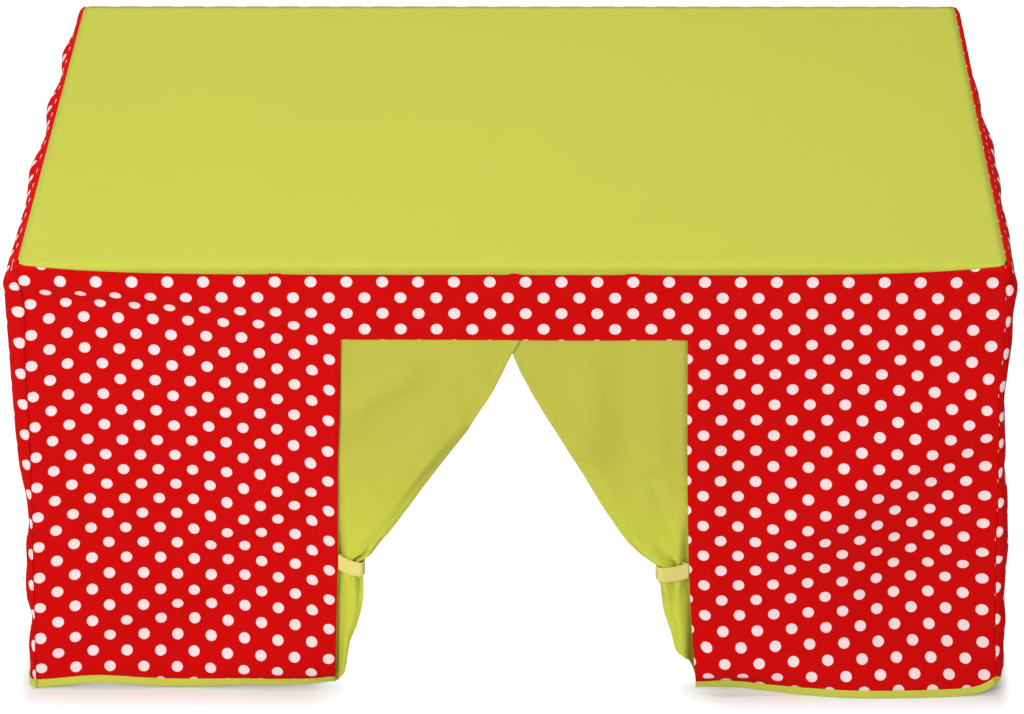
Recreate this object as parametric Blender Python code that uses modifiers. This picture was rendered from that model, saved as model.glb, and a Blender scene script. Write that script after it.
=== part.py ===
# Table play tent: a cloth cover that turns a table into a little house, with a doorway
# in front whose two curtains are tied back at the door edges.
# Metres, +Z up. The origin is on the floor under the middle of the cover, -Y is the
# doorway side and +X is to the right of someone who looks at the doorway.
import math

import bmesh
import bpy
from mathutils import Vector

# Driving sizes of the cover
cover_width = 1.400
cover_depth = 0.940
cover_height = 0.690
corner_radius = 0.020
edge_radius = 0.010
cloth_thickness = 0.001
side_seam_travel = 0.001
front_seam_travel = 0.020
hem_flare = 0.008
fold_depth = 0.006
hem_bulge = 0.018

# Driving sizes of the doorway, its curtains and its ties
doorway_width = 0.504
doorway_height = 0.573
curtain_thickness = 0.0012
curtain_parting = 0.0010
bunch_angle = math.radians(22)
left_bunch_radius = 0.0318
right_bunch_radius = 0.0393
left_tie_height = 0.204
right_tie_height = 0.195
tie_width = 0.025
tie_thickness = 0.0010
patch_thickness = 0.0010
patch_angle = math.radians(20)
tail_end_width = 0.007
left_tail_end = 0.030
right_tail_end = 0.036

# Driving sizes of the binding tape round the lower edges
binding_width = 0.010
binding_thickness = 0.0008

# Clearances
seam_gap = 0.0005
fit_gap = 0.0003
hinge_gap = 0.0003
tape_start = 0.006

# Places that follow from the sizes above
half_width = cover_width / 2
half_depth = cover_depth / 2
half_doorway = doorway_width / 2
front_edge_x = half_width - corner_radius
side_edge_y = half_depth - corner_radius
round_length = edge_radius * math.pi / 2
wall_bottom = binding_thickness + fit_gap
curtain_top = doorway_height - seam_gap
hinge_inset = curtain_thickness / 2 + hinge_gap
hinge_x = half_doorway - hinge_inset
hinge_y = -half_depth + cloth_thickness / 2

# How finely the cloth is divided
panel_columns = 9
lintel_columns = 8
side_columns = 10
corner_steps = 5
round_rows = 4
wall_rows = 12
lintel_row = 3
roof_rings = 4
curtain_columns = 13
curtain_rows_above = 15
curtain_rows_below = 6

# Main folds of the front cloth: where each starts and ends on the wall (x, z),
# how wide it is, and its depth as a share of fold_depth. The back wall has them turned
# round the middle of the cover.
front_folds = [
    ((-0.660, 0.645), (-0.360, 0.600), 0.030, 0.8),
    ((-0.600, 0.500), (-0.400, 0.300), 0.045, -0.6),
    ((-0.640, 0.110), (-0.380, 0.075), 0.045, 1.0),
    ((0.380, 0.340), (0.640, 0.420), 0.040, 1.0),
    ((0.340, 0.180), (0.600, 0.270), 0.040, 0.9),
    ((0.400, 0.560), (0.660, 0.610), 0.035, 0.6),
]
bulge_x = 0.520
bulge_spread = 0.110
bulge_height = 0.300
side_waves = 3


def smooth_step(low, high, value):
    share = min(max((value - low) / (high - low), 0.0), 1.0)
    return share * share * (3 - 2 * share)


def between(low, high, share):
    return low + (high - low) * share


def ridge(x, z, start, end, width):
    """Height, 0 to 1, of a soft ridge that runs from start to end on a wall."""
    run = Vector(end) - Vector(start)
    reach = Vector((x, z)) - Vector(start)
    share = min(max(reach.dot(run) / run.length_squared, 0.0), 1.0)
    away = (reach - run * share).length
    return math.exp(-((away / width) ** 2)) * (0.35 + 0.65 * math.sin(math.pi * share))


def front_hang(x, z):
    """How far the front cloth hangs forward of its plane."""
    drop = min(max((cover_height - z) / cover_height, 0.0), 1.0)
    clear_of_corner = smooth_step(0, 0.09, front_edge_x - abs(x))
    folds = 0.0
    for start, end, width, depth in front_folds:
        folds += fold_depth * depth * ridge(x, z, start, end, width)
    low_down = max(1 - z / bulge_height, 0.0) ** 2
    bulge = hem_bulge * math.exp(-(((x - bulge_x) / bulge_spread) ** 2)) * low_down
    return hem_flare * drop + (folds + bulge) * clear_of_corner * smooth_step(0, 0.15, drop)


def doorway_calm(x):
    """0 between the door edges, where the cloth stays in its plane, and 1 well outside."""
    return smooth_step(half_doorway, half_doorway + 0.10, abs(x))


def side_hang(y, z):
    """How far a side wall hangs out: a flare to the hem and broad upright waves."""
    drop = min(max((cover_height - z) / cover_height, 0.0), 1.0)
    clear_of_corner = smooth_step(0, 0.12, side_edge_y - abs(y))
    wave = math.sin(math.pi * side_waves * (y / side_edge_y + 1) / 2 * 2)
    return hem_flare * drop + fold_depth * wave * drop * clear_of_corner


class Station:
    """A place on the plan outline of the cover: its point, its outward direction, how far
    round the top edge the roof seam lies there, and how the cloth below it hangs."""

    def __init__(self, x, y, direction, seam_travel, hang):
        self.point = Vector((x, y, 0))
        self.out = Vector((direction[0], direction[1], 0)).normalized()
        self.seam_travel = seam_travel
        self.hang = hang

    def place(self, travel, offset=0.0):
        """The point that lies travel down from where the flat roof ends, offset outwards."""
        if travel <= 0:
            inset, z, turn = edge_radius - travel, cover_height, 0.0
        elif travel < round_length:
            turn = travel / edge_radius
            inset = edge_radius * (1 - math.sin(turn))
            z = cover_height - edge_radius * (1 - math.cos(turn))
        else:
            turn = math.pi / 2
            inset = 0.0
            z = cover_height - edge_radius - (travel - round_length)
        outward = self.out * math.sin(turn) + Vector((0, 0, math.cos(turn)))
        point = self.point - self.out * (inset - self.hang(z)) + outward * offset
        point.z += z
        return point

    def at_height(self, z, offset=0.0):
        return self.place(cover_height - edge_radius - z + round_length, offset)


def spread(low, high, count):
    return [between(low, high, i / count) for i in range(count + 1)]


def front_seam(x):
    """The roof seam lies on the flat at the corners and dips over the edge between them."""
    share = min(abs(x) / front_edge_x, 1.0)
    return between(front_seam_travel, side_seam_travel, share**4)


def front_station(x):
    return Station(x, -half_depth, (0, -1), front_seam(x), lambda z: front_hang(x, z) * doorway_calm(x))


def back_station(x):
    return Station(x, half_depth, (0, 1), side_seam_travel, lambda z: front_hang(-x, z))


def corner_station(side, end, turn):
    """On a rounded corner, turn 0 faces the front or back and turn 1 faces the side."""
    angle = turn * math.pi / 2
    direction = (side * math.sin(angle), end * math.cos(angle))
    x = side * front_edge_x + direction[0] * corner_radius
    y = end * side_edge_y + direction[1] * corner_radius
    return Station(x, y, direction, side_seam_travel, lambda z: side_hang(side_edge_y, z))


def side_station(side, y):
    return Station(side * half_width, y, (side, 0), side_seam_travel, lambda z: side_hang(y, z))


def panel_positions():
    """Where the front and back walls are divided, from left to right."""
    edge = front_edge_x - seam_gap
    left = spread(-edge, -half_doorway, panel_columns)
    middle = spread(-half_doorway, half_doorway, lintel_columns)
    right = spread(half_doorway, edge, panel_columns)
    return left + middle[1:-1] + right


def side_wall_stations(side):
    """From the front corner seam, round the corner, along the side and round the back corner."""
    turns = spread(0, 1, corner_steps)
    front = [corner_station(side, -1, turn) for turn in turns]
    run = [side_station(side, y) for y in spread(-side_edge_y, side_edge_y, side_columns)[1:-1]]
    back = [corner_station(side, 1, turn) for turn in reversed(turns)]
    return front + run + back


def cloth_material(name, red, green, blue, roughness):
    """Colours are given as the eye sees them, 0 to 255, and stored as linear light."""
    material = bpy.data.materials.new(name)
    material.use_nodes = True
    shader = material.node_tree.nodes["Principled BSDF"]
    linear = [((c / 255 + 0.055) / 1.055) ** 2.4 for c in (red, green, blue)]
    shader.inputs["Base Color"].default_value = (*linear, 1.0)
    shader.inputs["Roughness"].default_value = roughness
    shader.inputs["Metallic"].default_value = 0.0
    material.diffuse_color = (*linear, 1.0)
    return material


def finish(name, bm, collection, material, parent=None):
    """Turns a bmesh into a named object whose faces point outwards."""
    bmesh.ops.recalc_face_normals(bm, faces=bm.faces)
    mesh = bpy.data.meshes.new(name)
    bm.to_mesh(mesh)
    bm.free()
    mesh.shade_smooth()
    mesh.set_sharp_from_angle(angle=math.radians(40))
    mesh.materials.append(material)
    piece = bpy.data.objects.new(name, mesh)
    collection.objects.link(piece)
    piece.parent = parent
    return piece


def thicken(piece, thickness, offset):
    shell = piece.modifiers.new("cloth", "SOLIDIFY")
    shell.thickness = thickness
    shell.offset = offset
    shell.use_even_offset = True


def grid_cloth(rows):
    """A bmesh of rows of points. Every row has the same number of points."""
    bm = bmesh.new()
    made = [[bm.verts.new(point) for point in row] for row in rows]
    for upper, lower in zip(made, made[1:]):
        for i in range(len(upper) - 1):
            bm.faces.new((upper[i], lower[i], lower[i + 1], upper[i + 1]))
    return bm


def wall_rows_of(stations):
    """Rows of points from the roof seam down to the hem."""
    below_round = round_length + edge_radius
    binding_top = binding_width + fit_gap
    rows = []
    for share in spread(0, 1, round_rows)[:-1]:
        rows.append([s.place(between(s.seam_travel + seam_gap, below_round, share)) for s in stations])
    top = cover_height - 2 * edge_radius
    heights = spread(top, doorway_height, lintel_row)
    heights += spread(doorway_height, binding_top, wall_rows - lintel_row)[1:]
    heights.append(wall_bottom)
    for z in heights:
        rows.append([s.at_height(z) for s in stations])
    return rows


def make_wall(name, stations, collection, material):
    bm = grid_cloth(wall_rows_of(stations))
    wall = finish(name, bm, collection, material)
    thicken(wall, cloth_thickness, -1)
    return wall


def make_front_wall(collection, material):
    """One panel with the doorway cut out of it from the floor up."""
    stations = [front_station(x) for x in panel_positions()]
    bm = grid_cloth(wall_rows_of(stations))
    inside = []
    for face in bm.faces:
        middle = face.calc_center_median()
        if abs(middle.x) < half_doorway and middle.z < doorway_height:
            inside.append(face)
    bmesh.ops.delete(bm, geom=inside, context="FACES")
    wall = finish("front_wall", bm, collection, material)
    thicken(wall, cloth_thickness, -1)
    return wall


def make_roof(collection, material):
    """The roof lies flat on the table and turns down over its edges to the seams."""
    outline = [front_station(x) for x in panel_positions()]
    outline += side_wall_stations(1)
    outline += [back_station(x) for x in reversed(panel_positions())]
    outline += reversed(side_wall_stations(-1))
    flat_end = edge_radius - 0.9 * corner_radius
    bm = bmesh.new()
    rings = []
    for share in spread(0, 1, roof_rings):
        rings.append([bm.verts.new(s.place(between(flat_end, s.seam_travel, share))) for s in outline])
    bm.faces.new(rings[0])
    for inner, outer in zip(rings, rings[1:]):
        for i in range(len(inner)):
            following = (i + 1) % len(inner)
            bm.faces.new((inner[i], outer[i], outer[following], inner[following]))
    roof = finish("roof_panel", bm, collection, material)
    thicken(roof, cloth_thickness, -1)
    return roof


def make_binding(name, stations, collection, material):
    """Tape folded round the lower edge of a wall, open at the top like a gutter."""
    outside = fit_gap
    inside = -cloth_thickness - fit_gap
    profile = [
        (outside, binding_width),
        (outside, binding_thickness),
        (inside, binding_thickness),
        (inside, binding_width),
    ]
    rows = []
    for offset, z in profile:
        rows.append([s.at_height(z, offset) for s in stations])
    bm = grid_cloth(rows)
    tape = finish(name, bm, collection, material)
    face_out = tape.data.polygons[0].normal.dot(stations[0].out) > 0
    thicken(tape, binding_thickness, 1 if face_out else -1)
    return tape


class Side:
    """What differs between the left and the right curtain."""

    def __init__(self, name, sign, bunch_radius, tie_height, tail_end):
        self.name = name
        self.sign = sign
        self.bunch_radius = bunch_radius
        self.tie_height = tie_height
        self.tail_end = tail_end
        self.neck_top = tie_height + tie_width / 2 + 2 * fit_gap
        self.neck_bottom = tie_height - tie_width / 2 - 2 * fit_gap
        self.tab_radius = bunch_radius + fit_gap + tie_thickness / 2
        self.loop_radius = self.tab_radius + tie_thickness / 2 + fit_gap + patch_thickness / 2
        self.hook_radius = self.loop_radius + patch_thickness + fit_gap
        self.strap_radius = self.hook_radius + patch_thickness / 2 + fit_gap + tie_thickness / 2

    def local(self, reach, forward, z):
        """From the door edge towards the middle of the doorway, and forward of the wall."""
        return Vector((-self.sign * reach, -forward, z))


def curtain_section(side, z):
    """Width and thickness of the gathered curtain at one height."""
    full_width = hinge_x - curtain_parting / 2
    bunch_thickness = 2 * 0.8 * side.bunch_radius * math.tan(bunch_angle)
    spill = side.strap_radius + tie_thickness / 2
    if z > side.neck_top:
        share = (curtain_top - z) / (curtain_top - side.neck_top)
        width = full_width - (full_width - spill) * share**1.25
        thickness = between(curtain_thickness, bunch_thickness, share**2.2)
    elif z >= side.neck_bottom:
        width, thickness = side.bunch_radius, bunch_thickness
    else:
        share = (side.neck_bottom - z) / (side.neck_bottom - side.tail_end)
        width = between(spill, tail_end_width, share**1.3)
        thickness = between(bunch_thickness, 0.5 * tail_end_width, share)
    return width, thickness


def curtain_ring(side, z):
    """The closed outline of the curtain at one height: down its front, back along its rear."""
    width, thickness = curtain_section(side, z)
    spare = max(thickness - curtain_thickness, 0.0) / 2
    front, rear = [], []
    for i in range(curtain_columns + 1):
        share = i / curtain_columns
        if share <= 0.8:
            swell = share / 0.8
        else:
            swell = math.sqrt(max(1 - ((share - 0.8) / 0.2) ** 2, 0.0))
        flute = 0.28 * math.sin(2 * math.pi * 3.5 * share)
        half = curtain_thickness / 2 + 0.72 * spare * swell
        middle = spare * flute * swell
        front.append(side.local(width * share, middle + half, z))
        rear.append(side.local(width * share, middle - half, z))
    return front + rear[::-1]


def curtain_heights(side):
    above = spread(curtain_top, side.neck_top, curtain_rows_above)
    below = spread(side.neck_bottom, side.tail_end, curtain_rows_below)
    step = 2 * fit_gap
    return above + [side.neck_top - step, side.neck_bottom + step] + below


def make_curtain(side, collection, material, parent):
    """A loft of closed outlines, flat under the lintel and gathered at the tie."""
    bm = bmesh.new()
    rings = []
    for z in curtain_heights(side):
        rings.append([bm.verts.new(point) for point in curtain_ring(side, z)])
    for upper, lower in zip(rings, rings[1:]):
        for i in range(len(upper)):
            following = (i + 1) % len(upper)
            bm.faces.new((upper[i], lower[i], lower[following], upper[following]))
    bm.faces.new(rings[0])
    bm.faces.new(rings[-1])
    return finish(side.name + "_curtain", bm, collection, material, parent)


def arc_points(radius, start, end, steps):
    return [(radius * math.cos(a), radius * math.sin(a)) for a in spread(start, end, steps)]


def hooked_path(radius, clearance, end_angle):
    """A tape's path: straight along the bunch from the door edge, then round its end."""
    along = Vector((math.cos(bunch_angle), math.sin(bunch_angle)))
    aside = Vector((-along.y, along.x)) * clearance
    corner_reach = math.sqrt(radius**2 - clearance**2)
    corner = along * corner_reach + aside
    corner_angle = math.atan2(corner.y, corner.x)
    trim = 0.15 * radius
    arm_start = along * tape_start + aside
    arm_end = along * (corner_reach - trim) + aside
    arc_angle = corner_angle - trim / radius
    arc_start = Vector((math.cos(arc_angle), math.sin(arc_angle))) * radius
    path = [arm_start, arm_start.lerp(arm_end, 0.5)]
    for share in spread(0, 1, 3)[:-1]:
        path.append(arm_end.lerp(corner, share).lerp(corner.lerp(arc_start, share), share))
    return [tuple(point) for point in path] + arc_points(radius, arc_angle, end_angle, 6)


def make_tape(name, side, path, facing, height, thickness, collection, material, parent):
    """An upright band along a path, with facing 1 for the front and -1 for the rear."""
    low = side.tie_height - height / 2
    high = side.tie_height + height / 2
    rows = []
    for z in (high, low):
        rows.append([side.local(reach, facing * forward, z) for reach, forward in path])
    tape = finish(name, grid_cloth(rows), collection, material, parent)
    thicken(tape, thickness, 0)
    return tape


def make_axis(name, location, collection, parent=None):
    """An empty on a joint's axis, which carries the pieces that turn about it."""
    axis = bpy.data.objects.new(name, None)
    axis.empty_display_size = 0.05
    axis.location = location
    axis.parent = parent
    collection.objects.link(axis)
    return axis


def make_doorway_side(side, collection, materials):
    """A curtain with the tab it is tied to, and the strap that goes round it."""
    curtain_axis = make_axis(side.name + "_curtain_axis", (side.sign * hinge_x, hinge_y, 0), collection)
    tie_axis = make_axis(side.name + "_tie_axis", (0, 0, 0), collection, curtain_axis)
    make_curtain(side, collection, materials["lime"], curtain_axis)

    clearance = curtain_thickness / 2 + fit_gap + tie_thickness / 2
    strap_end = -patch_angle - math.radians(3)
    strap_path = hooked_path(side.strap_radius, clearance, strap_end)
    tab_path = hooked_path(side.tab_radius, clearance, -math.radians(2))
    hook_path = arc_points(side.hook_radius, -patch_angle, math.radians(2), 5)
    loop_path = arc_points(side.loop_radius, patch_angle, -math.radians(2), 5)
    patch_height = tie_width - 0.004

    def tape(piece, path, facing, height, thickness, material, parent):
        name = side.name + piece
        return make_tape(name, side, path, facing, height, thickness, collection, material, parent)

    tape("_tie_strap", strap_path, 1, tie_width, tie_thickness, materials["tie"], tie_axis)
    tape("_hook_patch", hook_path, 1, patch_height, patch_thickness, materials["patch"], tie_axis)
    tape("_tie_tab", tab_path, -1, tie_width, tie_thickness, materials["tie"], curtain_axis)
    tape("_loop_patch", loop_path, -1, patch_height, patch_thickness, materials["patch"], curtain_axis)


def main():
    for old in list(bpy.data.objects):
        bpy.data.objects.remove(old, do_unlink=True)
    collection = bpy.data.collections.new("table_play_tent")
    bpy.context.scene.collection.children.link(collection)

    materials = {
        "lime": cloth_material("lime_cloth", 203, 210, 80, 0.85),
        "red": cloth_material("red_dotted_cloth", 212, 16, 18, 0.85),
        "binding": cloth_material("binding_tape", 200, 206, 72, 0.8),
        "tie": cloth_material("pale_yellow_tape", 228, 218, 122, 0.75),
        "patch": cloth_material("fastener_tape", 224, 218, 150, 0.9),
    }

    make_roof(collection, materials["lime"])
    make_front_wall(collection, materials["red"])
    positions = panel_positions()
    make_wall("back_wall", [back_station(x) for x in positions], collection, materials["red"])
    make_wall("left_wall", side_wall_stations(-1), collection, materials["red"])
    make_wall("right_wall", side_wall_stations(1), collection, materials["red"])

    left_panel = [front_station(x) for x in positions if x <= -half_doorway + seam_gap]
    right_panel = [front_station(x) for x in positions if x >= half_doorway - seam_gap]
    bindings = {
        "hem_binding_front_left": left_panel,
        "hem_binding_front_right": right_panel,
        "hem_binding_left": side_wall_stations(-1),
        "hem_binding_right": side_wall_stations(1),
        "hem_binding_back": [back_station(x) for x in positions],
    }
    for name, stations in bindings.items():
        make_binding(name, stations, collection, materials["binding"])

    left = Side("left", -1, left_bunch_radius, left_tie_height, left_tail_end)
    right = Side("right", 1, right_bunch_radius, right_tie_height, right_tail_end)
    make_doorway_side(left, collection, materials)
    make_doorway_side(right, collection, materials)


main()
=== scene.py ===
# Looks of the table play tent: the hang, print and seams of every cloth panel, the gathered
# curtains and their ties. Metres, +Z up, with the doorway on the -Y side.
import math
import bmesh
import bpy
import numpy as np
from mathutils import Matrix, Vector, noise


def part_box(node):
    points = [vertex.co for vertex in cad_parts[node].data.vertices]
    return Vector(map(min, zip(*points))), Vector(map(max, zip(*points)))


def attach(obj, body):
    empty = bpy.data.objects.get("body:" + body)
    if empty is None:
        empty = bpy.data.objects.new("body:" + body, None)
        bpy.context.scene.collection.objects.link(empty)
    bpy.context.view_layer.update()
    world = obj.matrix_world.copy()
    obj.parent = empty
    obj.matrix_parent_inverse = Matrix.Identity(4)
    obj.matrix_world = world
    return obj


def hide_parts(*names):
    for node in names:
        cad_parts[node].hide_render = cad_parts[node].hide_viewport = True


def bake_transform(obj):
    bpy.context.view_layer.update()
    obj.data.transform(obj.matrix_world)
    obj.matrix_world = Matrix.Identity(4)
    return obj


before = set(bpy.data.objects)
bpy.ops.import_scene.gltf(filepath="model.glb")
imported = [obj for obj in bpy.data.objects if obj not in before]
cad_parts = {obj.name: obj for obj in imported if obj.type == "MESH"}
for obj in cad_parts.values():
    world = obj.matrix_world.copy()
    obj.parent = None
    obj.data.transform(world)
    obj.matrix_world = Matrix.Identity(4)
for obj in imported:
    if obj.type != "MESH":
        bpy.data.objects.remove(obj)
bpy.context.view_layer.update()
print("frame loaded:", len(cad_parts), "nodes")

cover = {
    "width": 1.400,
    "depth": 0.940,
    "height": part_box("roof_panel")[1].z,
    "edgeRadius": 0.010,  # how softly the cloth turns over the table's edge
    "cornerRadius": 0.020,
    "clothThickness": 0.0009,
    "seamGap": 0.0001,
    "seamDrop": 0.001,  # how far past the flat the roof's seam lies at the back and the ends
    "hemHeight": 0.003,
    "unevenness": 0.0011,
}
halfWidth = cover["width"] / 2
halfDepth = cover["depth"] / 2
roundLength = cover["edgeRadius"] * math.pi / 2


def smoothStep(low, high, value):
    share = np.clip((value - low) / (high - low), 0.0, 1.0)
    return share * share * (3 - 2 * share)


def between(low, high, share):
    return low + (high - low) * share


def hill(value, middle, spread):
    return np.exp(-(((value - middle) / spread) ** 2))


def softened(line, reach):
    window = np.ones(2 * reach + 1) / (2 * reach + 1)
    return np.convolve(np.pad(line, reach, mode="edge"), window, mode="valid")


def profileAt(z, pairs, step=0.002, reach=5):
    # the line through (height, offset) pairs, with its corners softened
    heights, offsets = zip(*sorted(pairs))
    fine = np.arange(-0.02, 0.75, step)
    return np.interp(z, fine, softened(np.interp(fine, heights, offsets), reach))


def fromDisplay(red, green, blue):  # a colour as the eye reads it, 0 to 255
    return tuple(((c / 255 + 0.055) / 1.055) ** 2.4 for c in (red, green, blue)) + (1.0,)


# The camera: its place in metres, angles in degrees, lens and sensor in millimetres
camera = {
    "place": (0.0818, -5.7787, 3.3016),
    "pitchDown": 27.429,
    "yaw": -0.878,
    "roll": -0.320,
    "lens": 149.19,
    "sensorWidth": 36.0,
}


def addCamera():
    pitch, yaw, roll = (math.radians(camera[k]) for k in ("pitchDown", "yaw", "roll"))
    ahead = Vector((math.sin(yaw) * math.cos(pitch), math.cos(yaw) * math.cos(pitch), -math.sin(pitch)))
    level = Vector((math.cos(yaw), -math.sin(yaw), 0))
    upright = level.cross(ahead)
    right = level * math.cos(roll) + upright * math.sin(roll)
    up = upright * math.cos(roll) - level * math.sin(roll)
    data = bpy.data.cameras.new("camera")
    data.lens = camera["lens"]
    data.sensor_width = camera["sensorWidth"]
    made = bpy.data.objects.new("camera", data)
    turn = Matrix((right, up, -ahead)).transposed()
    made.matrix_world = Matrix.Translation(camera["place"]) @ turn.to_4x4()
    bpy.context.scene.collection.objects.link(made)
    bpy.context.scene.camera = made


addCamera()
print("camera set")


# Shader maths: a value is a socket, and plain maths on values adds Math nodes
class Value:
    def __init__(self, shades, socket):
        self.shades = shades
        self.socket = socket

    def math(self, operation, *others, swapped=False):
        values = [self, *others]
        if swapped:
            values.reverse()
        return self.shades.node("ShaderNodeMath", {"operation": operation}, dict(enumerate(values)))

    def __add__(self, other):
        return self.math("ADD", other)

    __radd__ = __add__

    def __sub__(self, other):
        return self.math("SUBTRACT", other)

    def __rsub__(self, other):
        return self.math("SUBTRACT", other, swapped=True)

    def __mul__(self, other):
        return self.math("MULTIPLY", other)

    __rmul__ = __mul__

    def __truediv__(self, other):
        return self.math("DIVIDE", other)

    def __pow__(self, other):
        return self.math("POWER", other)

    def __abs__(self):
        return self.math("ABSOLUTE")

    def fraction(self):
        return self.math("FRACT")

    def sine(self):
        return self.math("SINE")

    def least(self, other):
        return self.math("MINIMUM", other)

    def ramp(self, low, high):  # 0 below low and 1 above high
        settings = {"interpolation_type": "SMOOTHSTEP"}
        return self.shades.node("ShaderNodeMapRange", settings, {0: self, 1: low, 2: high})


class Shades:
    # adds nodes to a material or to the world
    def __init__(self, made):
        self.made = made
        made.use_nodes = True
        self.tree = made.node_tree
        self.tree.nodes.clear()

    def node(self, kind, settings=None, sockets=None, out=0):
        made = self.tree.nodes.new(kind)
        for key, value in (settings or {}).items():
            setattr(made, key, value)
        for key, value in (sockets or {}).items():
            if isinstance(value, Value):
                self.tree.links.new(value.socket, made.inputs[key])
            else:
                made.inputs[key].default_value = value
        return Value(self, made.outputs[out]) if made.outputs else None

    def mix(self, share, first, second):
        sockets = {0: share, 6: first, 7: second}
        return self.node("ShaderNodeMix", {"data_type": "RGBA"}, sockets, out=2)

    def clothPlace(self):  # the piece's own cloth coordinates in metres, whole and apart
        place = self.node("ShaderNodeUVMap", {"uv_map": "cloth"})
        return [place] + self.split(place)[:2]

    def split(self, vector):  # its x, y and z
        made = self.tree.nodes.new("ShaderNodeSeparateXYZ")
        self.tree.links.new(vector.socket, made.inputs[0])
        return [Value(self, output) for output in made.outputs]

    def objectPlace(self):
        return self.node("ShaderNodeTexCoord", out="Object")

    def speckle(self, place, scale, detail=1.0, **more):
        sockets = {"Vector": place, "Scale": scale, "Detail": detail, **more}
        return self.node("ShaderNodeTexNoise", {}, sockets)

    def seenByCamera(self):  # 1 for what the camera sees and 0 for light that falls on things
        rays = self.tree.nodes.new("ShaderNodeLightPath").outputs
        kinds = ("Camera", "Glossy", "Transmission")
        straight, mirrored, through = (Value(self, rays[f"Is {kind} Ray"]) for kind in kinds)
        return (straight + mirrored + through).least(1.0)

    def bump(self, height, distance, strength=1.0):
        return self.node("ShaderNodeBump", {}, {"Height": height, "Distance": distance, "Strength": strength})

    def finish(self, **sockets):
        names = {key: key[0].upper() + key[1:] for key in sockets}
        names.update(baseColor="Base Color", sheen="Sheen Weight", sheenRough="Sheen Roughness")
        names.update(specular="Specular IOR Level")
        shader = self.node("ShaderNodeBsdfPrincipled", {}, {names[k]: v for k, v in sockets.items()})
        self.node("ShaderNodeOutputMaterial", {}, {"Surface": shader})
        return self.made


# Looks of the cloth, in metres where they are lengths
weave = {
    "pitch": 0.00055,  # one thread to the next
    "depth": 0.00010,
    "slubs": 0.035,  # how much single threads differ in shade
    "patches": 0.035,  # how much the dye differs from place to place
    "contrast": 0.9,  # how much of those differences shows
    "cellsAlong": 12,  # places where the shade differs, for each metre along a thread and across it
    "cellsAcross": 900,
}
dots = {
    "radius": 0.00825,
    "pitchAcross": 0.0501,
    "pitchDown": 0.0492,
    "shiftAcross": -0.0050,
    "shiftDown": -0.0558,  # the first full row below the edge of the roof's flat
    "colour": fromDisplay(229, 204, 204),
    "softness": 0.0003,  # how softly a dot ends
    "raggedness": 0.0006,
}
colours = {
    "roof": fromDisplay(168, 172, 62),
    "curtain": fromDisplay(174, 173, 66),
    "curtainFootPaintedLight": fromDisplay(187, 193, 63),
    "red": fromDisplay(188, 5, 5),
    "redReverse": fromDisplay(186, 56, 52),
    # painted light: a brighter, greener colour for the curtains' lower part, standing for light that comes
    # through the cloth
    "binding": fromDisplay(184, 189, 66),
    "tie": fromDisplay(208, 199, 111),
    "fastener": fromDisplay(206, 201, 134),
    "thread": fromDisplay(178, 182, 74),
}


def weaveOf(shades, across, down):
    # height of a plain weave, 0 to 1, and a share that differs from thread to thread
    turn = 2 * math.pi / weave["pitch"]
    over = (across * turn).sine() * (down * turn).sine()
    few, many = weave["cellsAlong"], weave["cellsAcross"]
    weft = shades.node("ShaderNodeCombineXYZ", {}, {0: across * few, 1: down * many})
    warp = shades.node("ShaderNodeCombineXYZ", {}, {0: across * many, 1: down * few})
    threads = shades.speckle(weft, 1.0) + shades.speckle(warp, 1.0)
    return over * 0.5 + 0.5, threads - 1.0


def patchesOf(shades, scale=7.0):
    # soft light and dark places in the dye, around 0
    return shades.speckle(shades.objectPlace(), scale, 3.0, Roughness=0.55) - 0.5


def toned(shades, colour, tone):
    # the colour, lighter where tone is above 0 and darker where it is below
    if isinstance(colour, tuple):
        colour = colour[:3]
    sockets = {0: colour, "Scale": tone * weave["contrast"] + 1}
    return shades.node("ShaderNodeVectorMath", {"operation": "SCALE"}, sockets)


def plainCloth(name, colour, paintedFootLight=None, roughness=0.92):
    # the colour for the foot is painted light: the lowest part of the cloth is painted brighter and greener,
    # for the light that comes through thin cloth
    shades = Shades(bpy.data.materials.new(name))
    across, down = shades.clothPlace()[1:]
    height, threads = weaveOf(shades, across, down)
    tone = threads * weave["slubs"] + patchesOf(shades) * weave["patches"]
    if paintedFootLight:
        # painted light: below 0.44 m the colour turns towards the brighter, greener foot colour, and fully
        # below 0.14 m
        colour = shades.mix(down.ramp(0.14, 0.44), paintedFootLight, colour)
    return shades.finish(
        baseColor=toned(shades, colour, tone),
        roughness=roughness,
        specular=0.12,
        sheen=0.03,
        sheenRough=0.5,
        normal=shades.bump(height, weave["depth"], 0.6),
    )


def dottedCloth(name, colour, strength=1.0):
    shades = Shades(bpy.data.materials.new(name))
    place, across, down = shades.clothPlace()
    height, threads = weaveOf(shades, across, down)
    column = abs(((across - dots["shiftAcross"]) / dots["pitchAcross"]).fraction() - 0.5)
    row = abs(((down - dots["shiftDown"]) / dots["pitchDown"]).fraction() - 0.5)
    half = ((0.5 - column) * dots["pitchAcross"]) ** 2 + ((0.5 - row) * dots["pitchDown"]) ** 2
    other = (column * dots["pitchAcross"]) ** 2 + (row * dots["pitchDown"]) ** 2
    ragged = shades.speckle(place, 700.0)
    away = half.least(other) ** 0.5 + (ragged - 0.5) * dots["raggedness"]
    printed = 1 - away.ramp(dots["radius"] - dots["softness"], dots["radius"] + dots["softness"])
    tone = threads * weave["slubs"] + patchesOf(shades) * weave["patches"]
    ground = toned(shades, colour, tone)
    dot = toned(shades, dots["colour"], threads * weave["slubs"])
    return shades.finish(
        baseColor=shades.mix(printed * strength, ground, dot),
        roughness=0.9,
        specular=0.06,
        normal=shades.bump(height + printed * 0.3, weave["depth"], 0.6),
    )


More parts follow.
